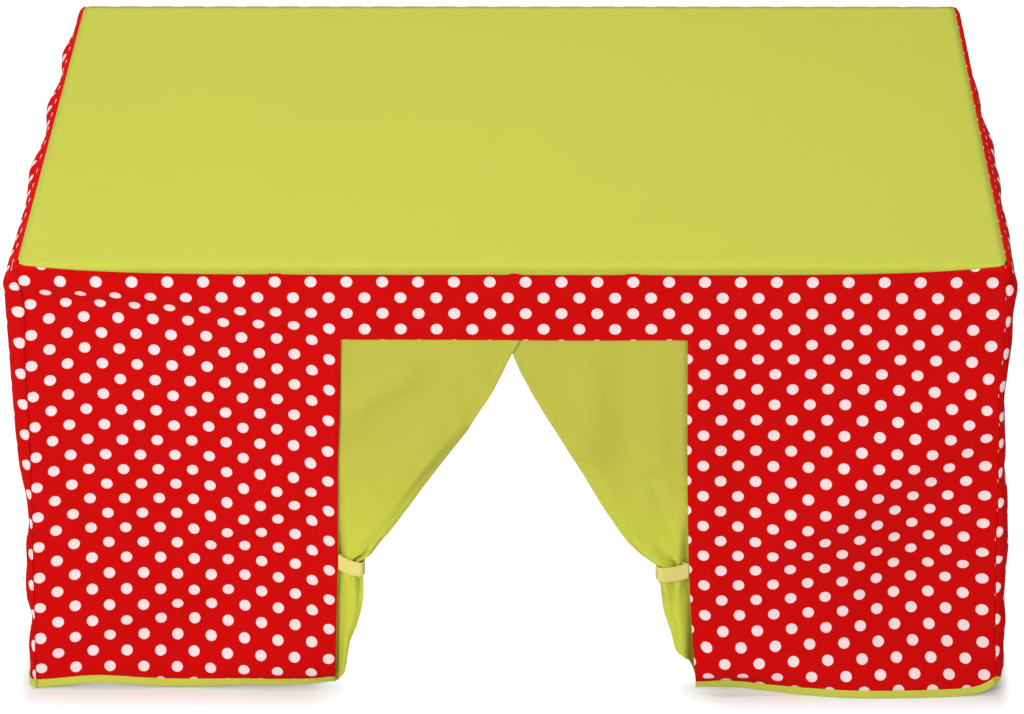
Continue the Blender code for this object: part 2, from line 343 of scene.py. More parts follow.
def ribbedTape(name, colour, pitch=0.0011, roughness=0.8):
    shades = Shades(bpy.data.materials.new(name))
    across, down = shades.clothPlace()[1:]
    ribs = (across * (2 * math.pi / pitch)).sine() * 0.5 + 0.5
    height, threads = weaveOf(shades, across, down)
    tone = threads * weave["slubs"] + patchesOf(shades, 25.0) * weave["patches"]
    return shades.finish(
        baseColor=toned(shades, colour, tone + ribs * 0.02),
        roughness=roughness,
        specular=0.3,
        sheen=0.1,
        sheenRough=0.4,
        normal=shades.bump(ribs + height * 0.4, 0.00012, 0.7),
    )


def pileTape(name, colour, grain):
    # hooks or loops: a dense field of small rough points
    shades = Shades(bpy.data.materials.new(name))
    place = shades.clothPlace()[0]
    cells = shades.node("ShaderNodeTexVoronoi", {}, {"Vector": place, "Scale": 1 / grain})
    fuzz = shades.speckle(place, 3 / grain, 2.0)
    height = (1 - cells) * 0.6 + fuzz * 0.4
    return shades.finish(
        baseColor=toned(shades, colour, (height - 0.5) * 0.25),
        roughness=0.95,
        specular=0.2,
        sheen=0.2,
        sheenRough=0.6,
        normal=shades.bump(height, 0.0004, 0.8),
    )


def threadFinish(name, colour):
    shades = Shades(bpy.data.materials.new(name))
    twist = shades.speckle(shades.objectPlace(), 2500.0)
    return shades.finish(
        baseColor=toned(shades, colour, (twist - 0.5) * 0.3),
        roughness=0.6,
        specular=0.4,
        normal=shades.bump(twist, 0.0001, 0.5),
    )


finishes = {
    "roof": plainCloth("limeRoofCloth", colours["roof"]),
    "curtain": plainCloth("limeCurtainCloth", colours["curtain"], colours["curtainFootPaintedLight"]),
    "dotted": dottedCloth("redDottedCloth", colours["red"]),
    "reverse": dottedCloth("redClothReverse", colours["redReverse"], 0.45),
    "binding": ribbedTape("limeBinding", colours["binding"]),
    "tie": ribbedTape("paleYellowTape", colours["tie"]),
    "hooks": pileTape("hookTape", colours["fastener"], 0.0012),
    "loops": pileTape("loopTape", colours["fastener"], 0.0007),
    "thread": threadFinish("limeThread", colours["thread"]),
    "tieThread": threadFinish("yellowThread", colours["tie"]),
}
print("cloth finishes made")


# How the front hangs. A fold runs from one place (x, z) to another on the wall, with its
# softness above and below that line and its height.
frontHang = {
    "flare": 0.006,
    "folds": [
        ((-0.70, 0.668), (-0.45, 0.645), 0.030, 0.024, 0.003),
        ((-0.25, 0.375), (-0.42, 0.245), 0.035, 0.030, 0.010),
        ((-0.69, 0.058), (-0.45, 0.152), 0.060, 0.024, 0.013),
        ((0.69, 0.472), (0.41, 0.271), 0.070, 0.048, 0.016),
        ((0.70, 0.235), (0.62, 0.205), 0.030, 0.025, 0.008),
    ],
    # broad swells: middle (x, z), half sizes and height
    "swells": [
        ((-0.46, 0.19), (0.14, 0.15), -0.018),
        ((-0.70, 0.085), (0.10, 0.045), -0.016),
        ((-0.55, 0.11), (0.14, 0.07), -0.010),
        ((-0.36, 0.40), (0.22, 0.15), -0.006),
        ((0.61, 0.19), (0.12, 0.11), -0.032),
        ((0.51, 0.25), (0.09, 0.065), 0.010),
        ((0.64, 0.42), (0.09, 0.08), -0.009),
        ((0.30, 0.05), (0.09, 0.05), 0.017),
        ((0.49, 0.00), (0.19, 0.062), 0.032),
        ((-0.33, 0.03), (0.13, 0.055), 0.012),
    ],
    # the cloth falls back below a line that runs from the upper left corner
    "hollow": {
        "start": (-0.710, 0.647),
        "end": (-0.260, 0.592),
        "softness": (0.024, 0.036),
        "depth": (0.026, 0.012),
        "corner": 0.12,
        "cornerShare": 0.60,
        "foot": (0.16, 0.06),
        "footSoftness": 0.10,
    },
    "calmBand": (0.004, 0.040),  # how far beside the doorway the folds begin
    # how far the lowest edge turns back under near the doorway, and below what height
    "tuck": {-1: (0.011, 0.030), 1: (0.017, 0.040)},
    "tuckPlace": (0.29, 0.13),  # its distance from the middle, and its spread
    # how far the doorway's edges stand out at the foot, and the heights over which that fades
    "jambKick": {-1: 0.003, 1: 0.022},
    "kickFade": (0.01, 0.13),
    # how far the right half falls back below the table's edge, and where it does so
    "setBack": 0.008,
    "setBackFade": (0.50, 0.60),
    "setBackStart": (0.26, 0.33),
    "setBackEnd": (0.50, 0.66),
    # how far the cloth drifts away from the doorway on its way down, and how late it does so,
    # beside the doorway and at the outer edge, then from what height and over how much of it
    "leanLeft": ((0.016, 1.2), (0.011, 1.8)),
    "leanRight": ((0.0145, 4.0), (0.0150, 4.0)),
    "leanHeights": (0.6645, 0.65),
    "cornerHitch": (-0.70, 0.08, 0.0015),  # cloth taken up at the left corner: place, spread, height
    "jambHitch": 0.0035,  # the same beside the doorway's right edge
    "hitchPlace": ((0.12, 0.25), (0.33, 0.26), (0.60, 0.50)),  # where it starts, ends and fades upwards
    "jambBow": 0.0025,
    "rightDrift": 0.0015,
    # how far the corner seams wander outwards, by height
    "seamWander": {
        -1: [
            (0.00, 0.0005), (0.10, 0.0015), (0.30, 0.0000), (0.44, -0.0020), (0.52, 0.0015), (0.60, 0.0010),
            (0.66, 0.0),
        ],
        1: [
            (0.00, 0.0015), (0.06, 0.0025), (0.11, 0.0030), (0.16, 0.0050), (0.20, 0.0045), (0.25, 0.0025),
            (0.29, 0.0045), (0.34, 0.0035), (0.44, 0.0005), (0.49, -0.0040), (0.54, 0.0005), (0.63, 0.0035),
            (0.66, 0.0),
        ],
    },
    "cornerPull": 0.005,
}
# the doorway's edges in cloth coordinates, at the top and at the foot
doorway = {
    -1: (0.2390, 0.2460),
    1: (0.2465, 0.2515),
    "halfTop": 0.243,
    "top": 0.573,
    # steps of the turned edge: how far it goes towards the middle, and its place behind the face
    "facing": ((0.0003, -0.0011), (-0.0003, -0.0024), (-0.0120, -0.0026)),
}
panelHalf = 0.6890


def foldOf(x, z, start, end, above, below, height):
    run = Vector(end) - Vector(start)
    length = run.length
    along = ((x - start[0]) * run.x + (z - start[1]) * run.y) / length
    across = ((z - start[1]) * run.x - (x - start[0]) * run.y) / length * math.copysign(1, run.x)
    past = np.maximum(np.maximum(-along, along - length), 0) / (0.5 * (above + below))
    softness = np.where(across > 0, above, below)
    return height * np.exp(-((across / softness) ** 2) - past**2)


def hollowOf(x, z, hollow):
    (startX, startZ), (endX, endZ) = hollow["start"], hollow["end"]
    share = np.clip((x - startX) / (endX - startX), 0, 1)
    softness = between(*hollow["softness"], share)
    below = smoothStep(-softness, softness, between(startZ, endZ, share) - z)
    above = smoothStep(-hollow["footSoftness"], hollow["footSoftness"], z - between(*hollow["foot"], share))
    corner = between(hollow["cornerShare"], 1, smoothStep(0, hollow["corner"], abs(x - startX)))
    rightEnd = 1 - smoothStep(endX - 0.01, endX + 0.05, x)
    return -between(*hollow["depth"], share) * below * above * corner * rightEnd


def panelHang(x, z):
    drop = np.clip((cover["height"] - z) / cover["height"], 0, 1)
    total = frontHang["flare"] * drop
    for fold in frontHang["folds"]:
        total = total + foldOf(x, z, *fold)
    for (middleX, middleZ), (spreadX, spreadZ), height in frontHang["swells"]:
        total = total + height * hill(x, middleX, spreadX) * hill(z, middleZ, spreadZ)
    return total + hollowOf(x, z, frontHang["hollow"])


def hangOfFront(x, z):
    start, end = frontHang["calmBand"]
    calm = smoothStep(doorway["halfTop"] + start, doorway["halfTop"] + end, abs(x))
    low = 1 - smoothStep(*frontHang["kickFade"], z)
    jamb = np.where(x < 0, frontHang["jambKick"][-1], frontHang["jambKick"][1]) * low
    (leftTuck, leftTop), (rightTuck, rightTop) = frontHang["tuck"][-1], frontHang["tuck"][1]
    tuck = np.where(x < 0, leftTuck, rightTuck) * hill(abs(x), *frontHang["tuckPlace"])
    tuck = tuck * (1 - smoothStep(0.0, np.where(x < 0, leftTop, rightTop), z))
    setBack = frontHang["setBack"] * (1 - smoothStep(*frontHang["setBackFade"], z))
    setBack = setBack * smoothStep(*frontHang["setBackStart"], x)
    setBack = setBack * (1 - smoothStep(*frontHang["setBackEnd"], x))
    return panelHang(x, z) * calm + jamb * (1 - calm) - tuck - setBack


def hangOfBack(u, z):  # u runs from left to right for someone who looks at the front
    return panelHang(-u, z) - 0.004 * hill(u, 0.0, 0.25) * hill(z, 0.25, 0.2)


def seamOfFront(x):
    # the roof seam lies on the flat at the corners and dips over the edge between them
    return between(0.0208, 0.0062, np.clip(abs(x) / panelHalf, 0, 1) ** 6)


def leanOf(x, z):
    # how far the cloth has drifted away from the doorway, drop being how far down it is
    outside = smoothStep(0.10, doorway["halfTop"], abs(x))
    top, reach = frontHang["leanHeights"]
    drop = np.clip((top - z) / reach, 0, 1)
    outer = smoothStep(0.24, 0.62, abs(x))
    drifts = []
    for (nearJamb, nearPower), (farAway, farPower) in (frontHang["leanLeft"], frontHang["leanRight"]):
        drifts.append(between(nearJamb, farAway, outer) * drop ** between(nearPower, farPower, outer))
    lean = np.where(x < 0, -drifts[0], drifts[1]) * outside
    lean = lean + frontHang["rightDrift"] * smoothStep(0.03, 0.15, drop) * smoothStep(0.10, 0.24, x)
    lean = lean - frontHang["jambBow"] * hill(z, 0.37, 0.09) * hill(x, -0.28, 0.09)
    for side, wander in frontHang["seamWander"].items():
        lean = lean + side * smoothStep(panelHalf - 0.044, panelHalf, side * x) * profileAt(z, wander)
    pull = frontHang["cornerPull"] * hill(x, -0.69, 0.12) * (1 - smoothStep(0.05, 0.35, drop))
    return lean + pull * smoothStep(0, 0.06, drop)


def frontPlan(u, z):
    x = u + leanOf(u, z)
    flat = np.zeros_like(u)
    return np.stack([x, flat - halfDepth], 1), np.stack([flat, flat - 1], 1)


def backPlan(u, z):
    flat = np.zeros_like(u)
    return np.stack([u, flat + halfDepth], 1), np.stack([flat, flat + 1], 1)


# How the ends hang: the silhouette by height, and places where the end bulges
sideHang = {
    "waves": 3,
    "waveHeight": 0.006,
    "carried": 0.13,  # how far round the corner the front and back carry the end along
    -1: [
        (0.00, 0.012), (0.06, 0.011), (0.10, 0.004), (0.13, 0.011), (0.16, 0.011), (0.19, 0.008),
        (0.22, 0.008), (0.25, 0.001), (0.30, 0.003), (0.35, 0.010), (0.40, 0.013), (0.52, 0.014),
        (0.65, 0.015),
    ],
    1: [
        (0.00, 0.009), (0.03, 0.019), (0.06, 0.016), (0.10, 0.020), (0.13, 0.015), (0.22, 0.018),
        (0.32, 0.011), (0.35, 0.003), (0.38, 0.006), (0.41, 0.003), (0.48, -0.003), (0.57, 0.006),
        (0.60, 0.004), (0.65, 0.010),
    ],
    "bulges": {
        -1: [(-0.07, 0.60, 0.008), (0.16, 0.61, 0.011), (0.36, 0.61, 0.012), (0.20, 0.30, -0.006)],
        1: [
            (-0.26, 0.58, 0.006), (-0.10, 0.60, 0.008), (0.03, 0.61, 0.010), (0.20, 0.60, 0.006),
            (0.10, 0.20, 0.007),
        ],
    },
    "bulgeSpread": (0.07, 0.13),
    "backShare": 0.45,  # how much of the silhouette is left at the back corner
}
sideEdgeY = halfDepth - cover["cornerRadius"]
cornerTurn = cover["cornerRadius"] * math.pi / 2
endHalf = sideEdgeY + cornerTurn


def shiftOfSide(side):
    # the front and back panels' hang carries each end's cloth along at the corners
    def shift(u, z):
        corner = np.full_like(u, side * panelHalf)
        front = hangOfFront(corner, z) * smoothStep(sideHang["carried"], 0.0, u + endHalf)
        back = hangOfBack(corner, z) * smoothStep(sideHang["carried"], 0.0, endHalf - u)
        return back - front

    return shift


def hangOfSide(side):
    def hang(u, z):
        nearest = endHalf - abs(u)
        drop = np.clip((cover["height"] - z) / cover["height"], 0, 1)
        own = sideHang["waveHeight"] * np.sin(math.pi * sideHang["waves"] * (u / sideEdgeY + 1)) * drop
        own = own * smoothStep(0.02, 0.14, nearest)
        wide, tall = sideHang["bulgeSpread"]
        for place, height, reach in sideHang["bulges"][side]:
            own = own + reach * hill(u, place, wide) * hill(z, height, tall)
        silhouette = profileAt(z, sideHang[side])
        silhouette = silhouette * between(1, sideHang["backShare"], smoothStep(-0.45, 0.45, u))
        return (own + silhouette) * smoothStep(-0.004, 0.030, nearest)

    return hang


def sidePlan(side):
    def plan(u, z):
        turn = np.clip((abs(u) - sideEdgeY) / cover["cornerRadius"], 0, math.pi / 2)
        end = np.sign(u)
        lean = np.where(end < 0, leanOf(np.full_like(u, side * panelHalf), z) * side, 0)
        seam = panelHalf + cover["seamGap"] + lean
        x = side * (halfWidth + (seam - halfWidth) * (1 - np.cos(turn)) - np.maximum(abs(u) - endHalf, 0))
        y = end * (np.minimum(abs(u), sideEdgeY) + cover["cornerRadius"] * np.sin(turn))
        y = np.where(turn > 0, end * (halfDepth - cover["cornerRadius"] * (1 - np.sin(turn))), y)
        out = np.stack([side * np.cos(turn), end * np.sin(turn)], 1)
        return np.stack([x, y], 1), out

    return plan


# The tables that a wall's hang is worked out in, which start a little up on the flat
hangTable = {
    "perMetre": 400,  # places for each metre of half the wall's length
    "step": 0.0025,
    "above": 0.005,
    "longest": 0.82,
    "freeAfter": 0.035,  # how far below the table's edge the cloth hangs freely
    "steepest": 0.3,  # least share of a step that still goes down
}


class Drape:
    # How one wall hangs. u runs along it and fall runs down the cloth, from the line where
    # the roof stops being flat, so that a fold takes up as much cloth as a real one.
    def __init__(self, half, plan, hang, seam, hemHeight, shift=None):
        self.half, self.plan, self.seam = half, plan, seam
        self.step, self.above = hangTable["step"], hangTable["above"]
        columns = int(half * hangTable["perMetre"])
        self.us = np.linspace(-half - self.above, half + self.above, columns)
        falls = np.arange(-self.above, hangTable["longest"], self.step)
        u, fall = np.meshgrid(self.us, falls)
        heights = (cover["height"] - cover["edgeRadius"] + roundLength - fall).ravel()
        free = smoothStep(roundLength, roundLength + hangTable["freeAfter"], fall)
        swing = hang(u.ravel(), heights).reshape(u.shape) * free
        self.shift = np.zeros_like(swing)
        if shift:
            self.shift = shift(u.ravel(), heights).reshape(u.shape) * free
        moved = np.diff(swing, axis=0) ** 2 + np.diff(self.shift, axis=0) ** 2
        drops = np.sqrt(np.maximum(self.step**2 - moved, (hangTable["steepest"] * self.step) ** 2))
        drops = drops * (fall[1:] > roundLength)
        turn = np.clip(fall / cover["edgeRadius"], 0, math.pi / 2)
        straight = np.vstack([np.zeros((1, len(self.us))), np.cumsum(drops, axis=0)])
        self.z = cover["height"] - cover["edgeRadius"] * (1 - np.cos(turn)) - straight
        self.out = swing - cover["edgeRadius"] * (1 - np.sin(turn)) + np.minimum(fall, 0)
        self.hemFalls = np.array(
            [np.interp(-hemHeight(x), -self.z[:, i], falls) for i, x in enumerate(self.us)]
        )

    def sample(self, table, u, fall):
        column = np.clip((u - self.us[0]) / (self.us[1] - self.us[0]), 0, len(self.us) - 1.001)
        row = np.clip((fall + self.above) / self.step, 0, table.shape[0] - 1.001)
        i, j = row.astype(int), column.astype(int)
        a, b = row - i, column - j
        upper = table[i, j] * (1 - b) + table[i, j + 1] * b
        lower = table[i + 1, j] * (1 - b) + table[i + 1, j + 1] * b
        return upper * (1 - a) + lower * a

    def fallAt(self, u, share):  # share 0 at the roof seam and 1 at the hem
        seam = self.seam(u)
        return seam + (np.interp(u, self.us, self.hemFalls) - seam) * share

    def skin(self, u, fall):
        z = self.sample(self.z, u, fall)
        place, out = self.plan(u, z)
        place = place + out * self.sample(self.out, u, fall)[:, None]
        place[:, 1] += self.sample(self.shift, u, fall)
        return np.column_stack([place, z]), out

    def outward(self, u, fall):
        reach = 0.0015
        along = self.skin(u + reach, fall)[0] - self.skin(u - reach, fall)[0]
        down = self.skin(u, fall + reach)[0] - self.skin(u, fall - reach)[0]
        normal = np.cross(along, down)
        normal /= np.linalg.norm(normal, axis=1)[:, None] + 1e-12
        out = self.skin(u, fall)[1]
        facing = normal[:, 0] * out[:, 0] + normal[:, 1] * out[:, 1] + normal[:, 2]
        return normal * np.sign(facing)[:, None]

    def place(self, u, fall, lift):
        return self.skin(u, fall)[0] + self.outward(u, fall) * lift[:, None]


def unevenness(points, scale=9.0):
    # soft rise and fall of real cloth, about -1 to 1
    return np.array([noise.fractal(Vector(p) * scale, 0.9, 2.1, 3) for p in points])


# Seams between the panels: allowances, how far and deep a panel dips there, and extra cuts of
# the mesh near the seams, the hem and the turned edges
seams = {
    "wallLength": 0.69,  # of a wall's cloth, from the roof seam to the hem
    "underRoof": 0.003,
    "underEnds": 0.0016,
    "reach": 0.0035,
    "depth": 0.00125,
    "shallow": 0.0002,
    "rows": (0.0, 0.0014, 0.003, 0.005, 0.010, 0.017, 0.024, 0.032, 0.041, 0.991, 0.9965),
    "columns": (0.0, 0.0008, 0.0018, 0.0035),
}


def linkPiece(name, bm, materials):
    mesh = bpy.data.meshes.new(name)
    bm.to_mesh(mesh)
    bm.free()
    mesh.shade_smooth()
    for material in materials:
        mesh.materials.append(material)
    piece = bpy.data.objects.new(name, mesh)
    bpy.context.scene.collection.objects.link(piece)
    return piece


def cutAcross(bm, place, across):
    everything = bm.verts[:] + bm.edges[:] + bm.faces[:]
    bmesh.ops.bisect_plane(bm, geom=everything, plane_co=place, plane_no=across)


def hangUp(bm, points, across, down):
    # keeps the flat places as cloth coordinates and moves the cloth to where it hangs
    layer = bm.loops.layers.uv.new("cloth")
    bm.verts.index_update()
    for face in bm.faces:
        for loop in face.loops:
            i = loop.vert.index
            loop[layer].uv = (across[i], down[i])
    for vert, point in zip(bm.verts, points):
        vert.co = point
    bm.normal_update()


def faceOutward(bm, out, faces=None):
    total = sum((face.normal * face.calc_area() for face in faces or bm.faces), Vector())
    if total.dot(Vector(out)) < 0:
        bmesh.ops.reverse_faces(bm, faces=bm.faces[:])


def thicken(piece, thickness, offset=-1.0, inside=0):
    shell = piece.modifiers.new("cloth", "SOLIDIFY")
    shell.thickness = thickness
    shell.offset = offset
    shell.material_offset = inside
    return piece


def flatPanel(half, columns, rows, underEnds):
    # cloth laid flat: x along the wall, y from 0 at the roof seam to -1 at the hem, with an
    # allowance that lies under the roof and, at the ends, under the front and back
    bm = bmesh.new()
    bmesh.ops.create_grid(bm, x_segments=columns, y_segments=rows, size=0.5)
    bmesh.ops.scale(bm, vec=(2 * (half + underEnds), 1 + seams["underRoof"], 1), verts=bm.verts)
    bmesh.ops.translate(bm, vec=(0, (seams["underRoof"] - 1) / 2, 0), verts=bm.verts)
    cuts = [((0, -share, 0), (0, 1, 0)) for share in seams["rows"]]
    cuts += [((side * (half - inset), 0, 0), (1, 0, 0)) for inset in seams["columns"] for side in (-1, 1)]
    for place, across in cuts:
        cutAcross(bm, place, across)
    return bm


def drapeOver(bm, drape, wallOut, printShift):
    # moves a flat panel to where it hangs and keeps its flat places as cloth coordinates
    flat = np.array([vert.co for vert in bm.verts])
    u, lift = flat[:, 0], flat[:, 2]
    fall = drape.fallAt(u, -flat[:, 1])
    skin = drape.skin(u, fall)[0]
    calm = smoothStep(0.0, 0.05, fall - drape.seam(u)) * smoothStep(0, 0.03, skin[:, 2])
    soft = unevenness(skin) * cover["unevenness"] * calm
    points = drape.place(u, fall, lift + soft)
    hitched = np.zeros_like(u)
    if drape is drapes["front"]:
        place, spread, height = frontHang["cornerHitch"]
        start, end, top = frontHang["hitchPlace"]
        beside = smoothStep(*start, u) * smoothStep(*end, u) * smoothStep(*top, skin[:, 2])
        hitched = height * hill(u, place, spread) + frontHang["jambHitch"] * beside
    hangUp(bm, points, u + printShift[0], -fall + printShift[1] - hitched)
    faceOutward(bm, wallOut)


def dipAtSeams(bm, half, underEnds):
    # the panel dips under the cloth that is sewn over it
    endDepth = seams["depth"] if underEnds else seams["shallow"]
    for vert in bm.verts:
        top = np.clip(1 + vert.co.y * seams["wallLength"] / seams["reach"], 0, 1)
        end = np.clip(1 - (half - abs(vert.co.x)) / seams["reach"], 0, 1)
        vert.co.z -= max(seams["depth"] * top**2, endDepth * end**2)


def cutDoorway(bm, drape):
    seam = float(drape.seam(np.array([0.0]))[0])
    hem = float(np.interp(0.0, drape.us, drape.hemFalls))
    topFall = roundLength + cover["height"] - cover["edgeRadius"] - doorway["top"]
    topShare = (topFall - seam) / (hem - seam)
    slants = {side: (doorway[side][1] - doorway[side][0]) / (1 - topShare) for side in (-1, 1)}
    for side, slant in slants.items():
        cutAcross(bm, (side * doorway[side][0], -topShare, 0), (side, slant, 0))
    cutAcross(bm, (0, -topShare, 0), (0, 1, 0))
    gone = []
    for face in bm.faces:
        middle = face.calc_center_median()
        below = -middle.y - topShare
        side = 1 if middle.x > 0 else -1
        if below > 0 and abs(middle.x) < doorway[side][0] + slants[side] * below:
            gone.append(face)
    bmesh.ops.delete(bm, geom=gone, context="FACES")
    turnEdgeUnder(bm, topShare)


def turnEdgeUnder(bm, topShare):
    # the doorway's edge is turned to the back and lies there as a facing; y runs in shares of
    # the cloth's length, which is about 0.68 at the doorway
    rim = []
    for edge in bm.edges:
        middle = (edge.verts[0].co + edge.verts[1].co) / 2
        if edge.is_boundary and abs(middle.x) < 0.26 and topShare - 0.01 < -middle.y < 0.9999:
            rim.append(edge)
    for step, lift in doorway["facing"]:
        made = bmesh.ops.extrude_edge_only(bm, edges=rim)["geom"]
        rim = [item for item in made if isinstance(item, bmesh.types.BMEdge)]
        for vert in {v for edge in rim for v in edge.verts}:
            atTop = -vert.co.y < topShare + 0.004
            side = 1 if vert.co.x > 0 else -1
            if abs(vert.co.x) > doorway[side][0] - 0.002:
                vert.co.x -= side * step
            if atTop:
                vert.co.y -= step / 0.68
            vert.co.z = lift


def declareWall(piece, node, body):
    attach(piece, body)
    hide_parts(node)


# How high the front's lower edge hangs on each side, and where it rises: place, spread and height
frontHem = {
    -1: (0.0035, [(-0.26, 0.06, 0.004), (-0.68, 0.05, -0.0015), (-0.60, 0.06, 0.006), (-0.38, 0.05, 0.003)]),
    1: (0.0012, [(0.25, 0.055, 0.005), (0.71, 0.032, 0.027)]),
}


def hemOfFront(x):
    base, rises = frontHem[-1 if x < 0 else 1]
    return base + sum(height * float(hill(x, place, spread)) for place, spread, height in rises)


def seamOfSide(u):
    # at the front corners the end's top edge meets the front's seam
    atCorner = float(seamOfFront(panelHalf))
    return between(cover["seamDrop"], atCorner, smoothStep(0.05, 0.0, u + endHalf))


def hemOfSide(side):
    front = hemOfFront(side * panelHalf)
    return lambda u: between(cover["hemHeight"], front, float(hill(u, -endHalf, 0.05)))


def seamOfBack(u):
    return np.full_like(u, cover["seamDrop"])


drapes = {
    "front": Drape(panelHalf, frontPlan, hangOfFront, seamOfFront, hemOfFront),
    "back": Drape(panelHalf, backPlan, hangOfBack, seamOfBack, lambda u: cover["hemHeight"]),
}
for sideName, sideSign in (("left", -1), ("right", 1)):
    drapes[sideName] = Drape(
        endHalf,
        sidePlan(sideSign),
        hangOfSide(sideSign),
        seamOfSide,
        hemOfSide(sideSign),
        shiftOfSide(sideSign),
    )
# where each panel was cut from the printed cloth
printShifts = {"front": (0, 0), "back": (0.011, 0.020), "left": (0.0165, -0.015), "right": (-0.008, 0.012)}
outOf = {"front": (0, -1, 0), "back": (0, 1, 0), "left": (-1, 0, 0), "right": (1, 0, 0)}
# columns and rows of each panel's mesh
fineness = {"front": (230, 112), "back": (170, 84), "left": (130, 84), "right": (130, 84)}
print("hang of the four walls worked out")


def makeWalls():
    made = {}
    for name, (columns, rows) in fineness.items():
        drape = drapes[name]
        underEnds = seams["underEnds"] if name in ("left", "right") else 0.0
        bm = flatPanel(drape.half, columns, rows, underEnds)
        dipAtSeams(bm, drape.half, underEnds)
        if name == "front":
            cutDoorway(bm, drape)
        drapeOver(bm, drape, outOf[name], printShifts[name])
        wall = linkPiece(name + "_wall_cloth", bm, [finishes["dotted"], finishes["reverse"]])
        made[name] = thicken(wall, cover["clothThickness"], inside=1)
        print(name, "wall hung")
    return made


walls = makeWalls()


# Binding: tape folded round the lower edges
bindingTape = {
    "width": 0.0118,
    "thickness": 0.0007,
    "stand": 0.0009,  # how far it stands off the wall, and its middle's share of that
    "middle": 1.15,
    "fold": 0.0021,
    "columnWidth": 0.008,
    "pucker": 0.00025,
    "puckers": 60,  # for each metre
    "inset": 0.0026,  # from its upper edge to the stitches
}


def foldedProfile():
    # (height above the hem, lift from the wall) round the fold, from front to back
    stand, fold = bindingTape["stand"], bindingTape["fold"]
    front = [(bindingTape["width"] - 0.0004, stand * 0.55), (bindingTape["width"] - 0.0010, stand)]
    middle = stand * bindingTape["middle"]
    front += [(bindingTape["width"] * share, middle) for share in (0.7, 0.45, 0.2)]
    arc = []
    for i in range(7):
        angle = math.pi * i / 6
        lift = fold * 0.62 * math.cos(angle) - cover["clothThickness"] / 2
        arc.append((-0.5 * fold * math.sin(angle), lift))
    back = [(height, -cover["clothThickness"] - lift) for height, lift in reversed(front)]
    return front + arc + back


def makeBinding(name, drape, low, high, wallOut):
    profile = foldedProfile()
    columns = int((high - low) / bindingTape["columnWidth"])
    bm = bmesh.new()
    bmesh.ops.create_grid(bm, x_segments=columns, y_segments=len(profile) - 1, size=0.5)
    flat = np.array([vert.co for vert in bm.verts])
    u = between(low, high, flat[:, 0] + 0.5)
    rows = np.rint((0.5 - flat[:, 1]) * (len(profile) - 1)).astype(int)
    heights, lifts = np.array(profile)[rows].T
    ripples = np.array([noise.noise(Vector((x * bindingTape["puckers"], 0, 3.0))) for x in u])
    hemFall = drape.fallAt(u, np.ones_like(u))
    lifted = lifts + ripples * bindingTape["pucker"] * np.sign(lifts)
    points = drape.place(u, np.minimum(hemFall - heights, hemFall), lifted)
    points[:, 2] -= np.maximum(-heights, 0)
    hangUp(bm, points, u, heights + 0.03 * (lifts < 0))
    outer = [face for face in bm.faces if all(lifts[vert.index] > 0 for vert in face.verts)]
    faceOutward(bm, wallOut, outer)
    tape = linkPiece(name, bm, [finishes["binding"]])
    return thicken(tape, bindingTape["thickness"], offset=1.0)


# Stitches: short lens-shaped threads along a row
stitch = {"length": 0.0026, "gap": 0.0007, "radius": 0.00022}


def makeStitches(name, places, finish):
    # places is a list of (point, direction, outward) for each stitch
    bm = bmesh.new()
    for point, direction, outward in places:
        made = bmesh.ops.create_icosphere(bm, subdivisions=1, radius=1.0)["verts"]
        side = direction.cross(outward).normalized()
        turn = Matrix((direction, side, outward)).transposed().to_4x4()
        size = Matrix.Diagonal((stitch["length"] / 2, stitch["radius"], stitch["radius"], 1))
        bmesh.ops.transform(bm, matrix=Matrix.Translation(point) @ turn @ size, verts=made)
    return linkPiece(name, bm, [finish])


def stitchPlaces(drape, low, high, aboveHem, lift):
    count = int((high - low) / (stitch["length"] + stitch["gap"]))
    u = np.linspace(low, high, count)
    fall = drape.fallAt(u, np.ones_like(u)) - aboveHem
    points = drape.place(u, fall, np.full_like(u, lift))
    ahead = drape.place(u + 0.001, fall, np.full_like(u, lift)) - points
    outward = drape.outward(u, fall)
    places = []
    for point, direction, out in zip(points, ahead, outward):
        along = Vector(direction).normalized()
        lifted = (Vector(out) - along * Vector(out).dot(along)).normalized()
        places.append((Vector(point), along, lifted))
    return places


def makeBindings():
    edge = panelHalf - 0.0008
    runs = {
        "front_left": ("front", -edge, 0.0003 - doorway[-1][1]),
        "front_right": ("front", doorway[1][1] - 0.0003, edge),
        "left": ("left", -endHalf + 0.0004, endHalf - 0.0004),
        "right": ("right", -endHalf + 0.0004, endHalf - 0.0004),
        "back": ("back", -edge, edge),
    }
    made = {}
    for key, (wall, low, high) in runs.items():
        tape = makeBinding("hem_tape_" + key, drapes[wall], low, high, outOf[wall])
        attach(tape, "cover")
        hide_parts("hem_binding_" + key)
        height = bindingTape["width"] - bindingTape["inset"]
        lift = bindingTape["stand"] * bindingTape["middle"] + bindingTape["thickness"] + 0.00008
        places = stitchPlaces(drapes[wall], low + 0.003, high - 0.003, height, lift)
        thread = makeStitches("hem_stitches_" + key, places, finishes["thread"])
        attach(thread, "cover")
        made[key] = [tape, thread]
    print("bindings folded round the hems")
    return made


bindings = makeBindings()


# Roof
roof = {
    "spacing": 0.011,
    "ripple": 0.0009,
    # small puckers in the front seam: x, spread and depth
    "puckers": [
        (0.004, 0.010, 0.0020), (-0.035, 0.012, 0.0012), (0.170, 0.014, 0.0018), (-0.330, 0.020, 0.0014),
    ],
    # more rows of the mesh near the front seam, as shares of half the depth
    "cuts": (0.9970, 0.9935, 0.989, 0.983, 0.975, 0.966, 0.957),
    "corner": 0.010,  # how far the corner's cloth is drawn together
}


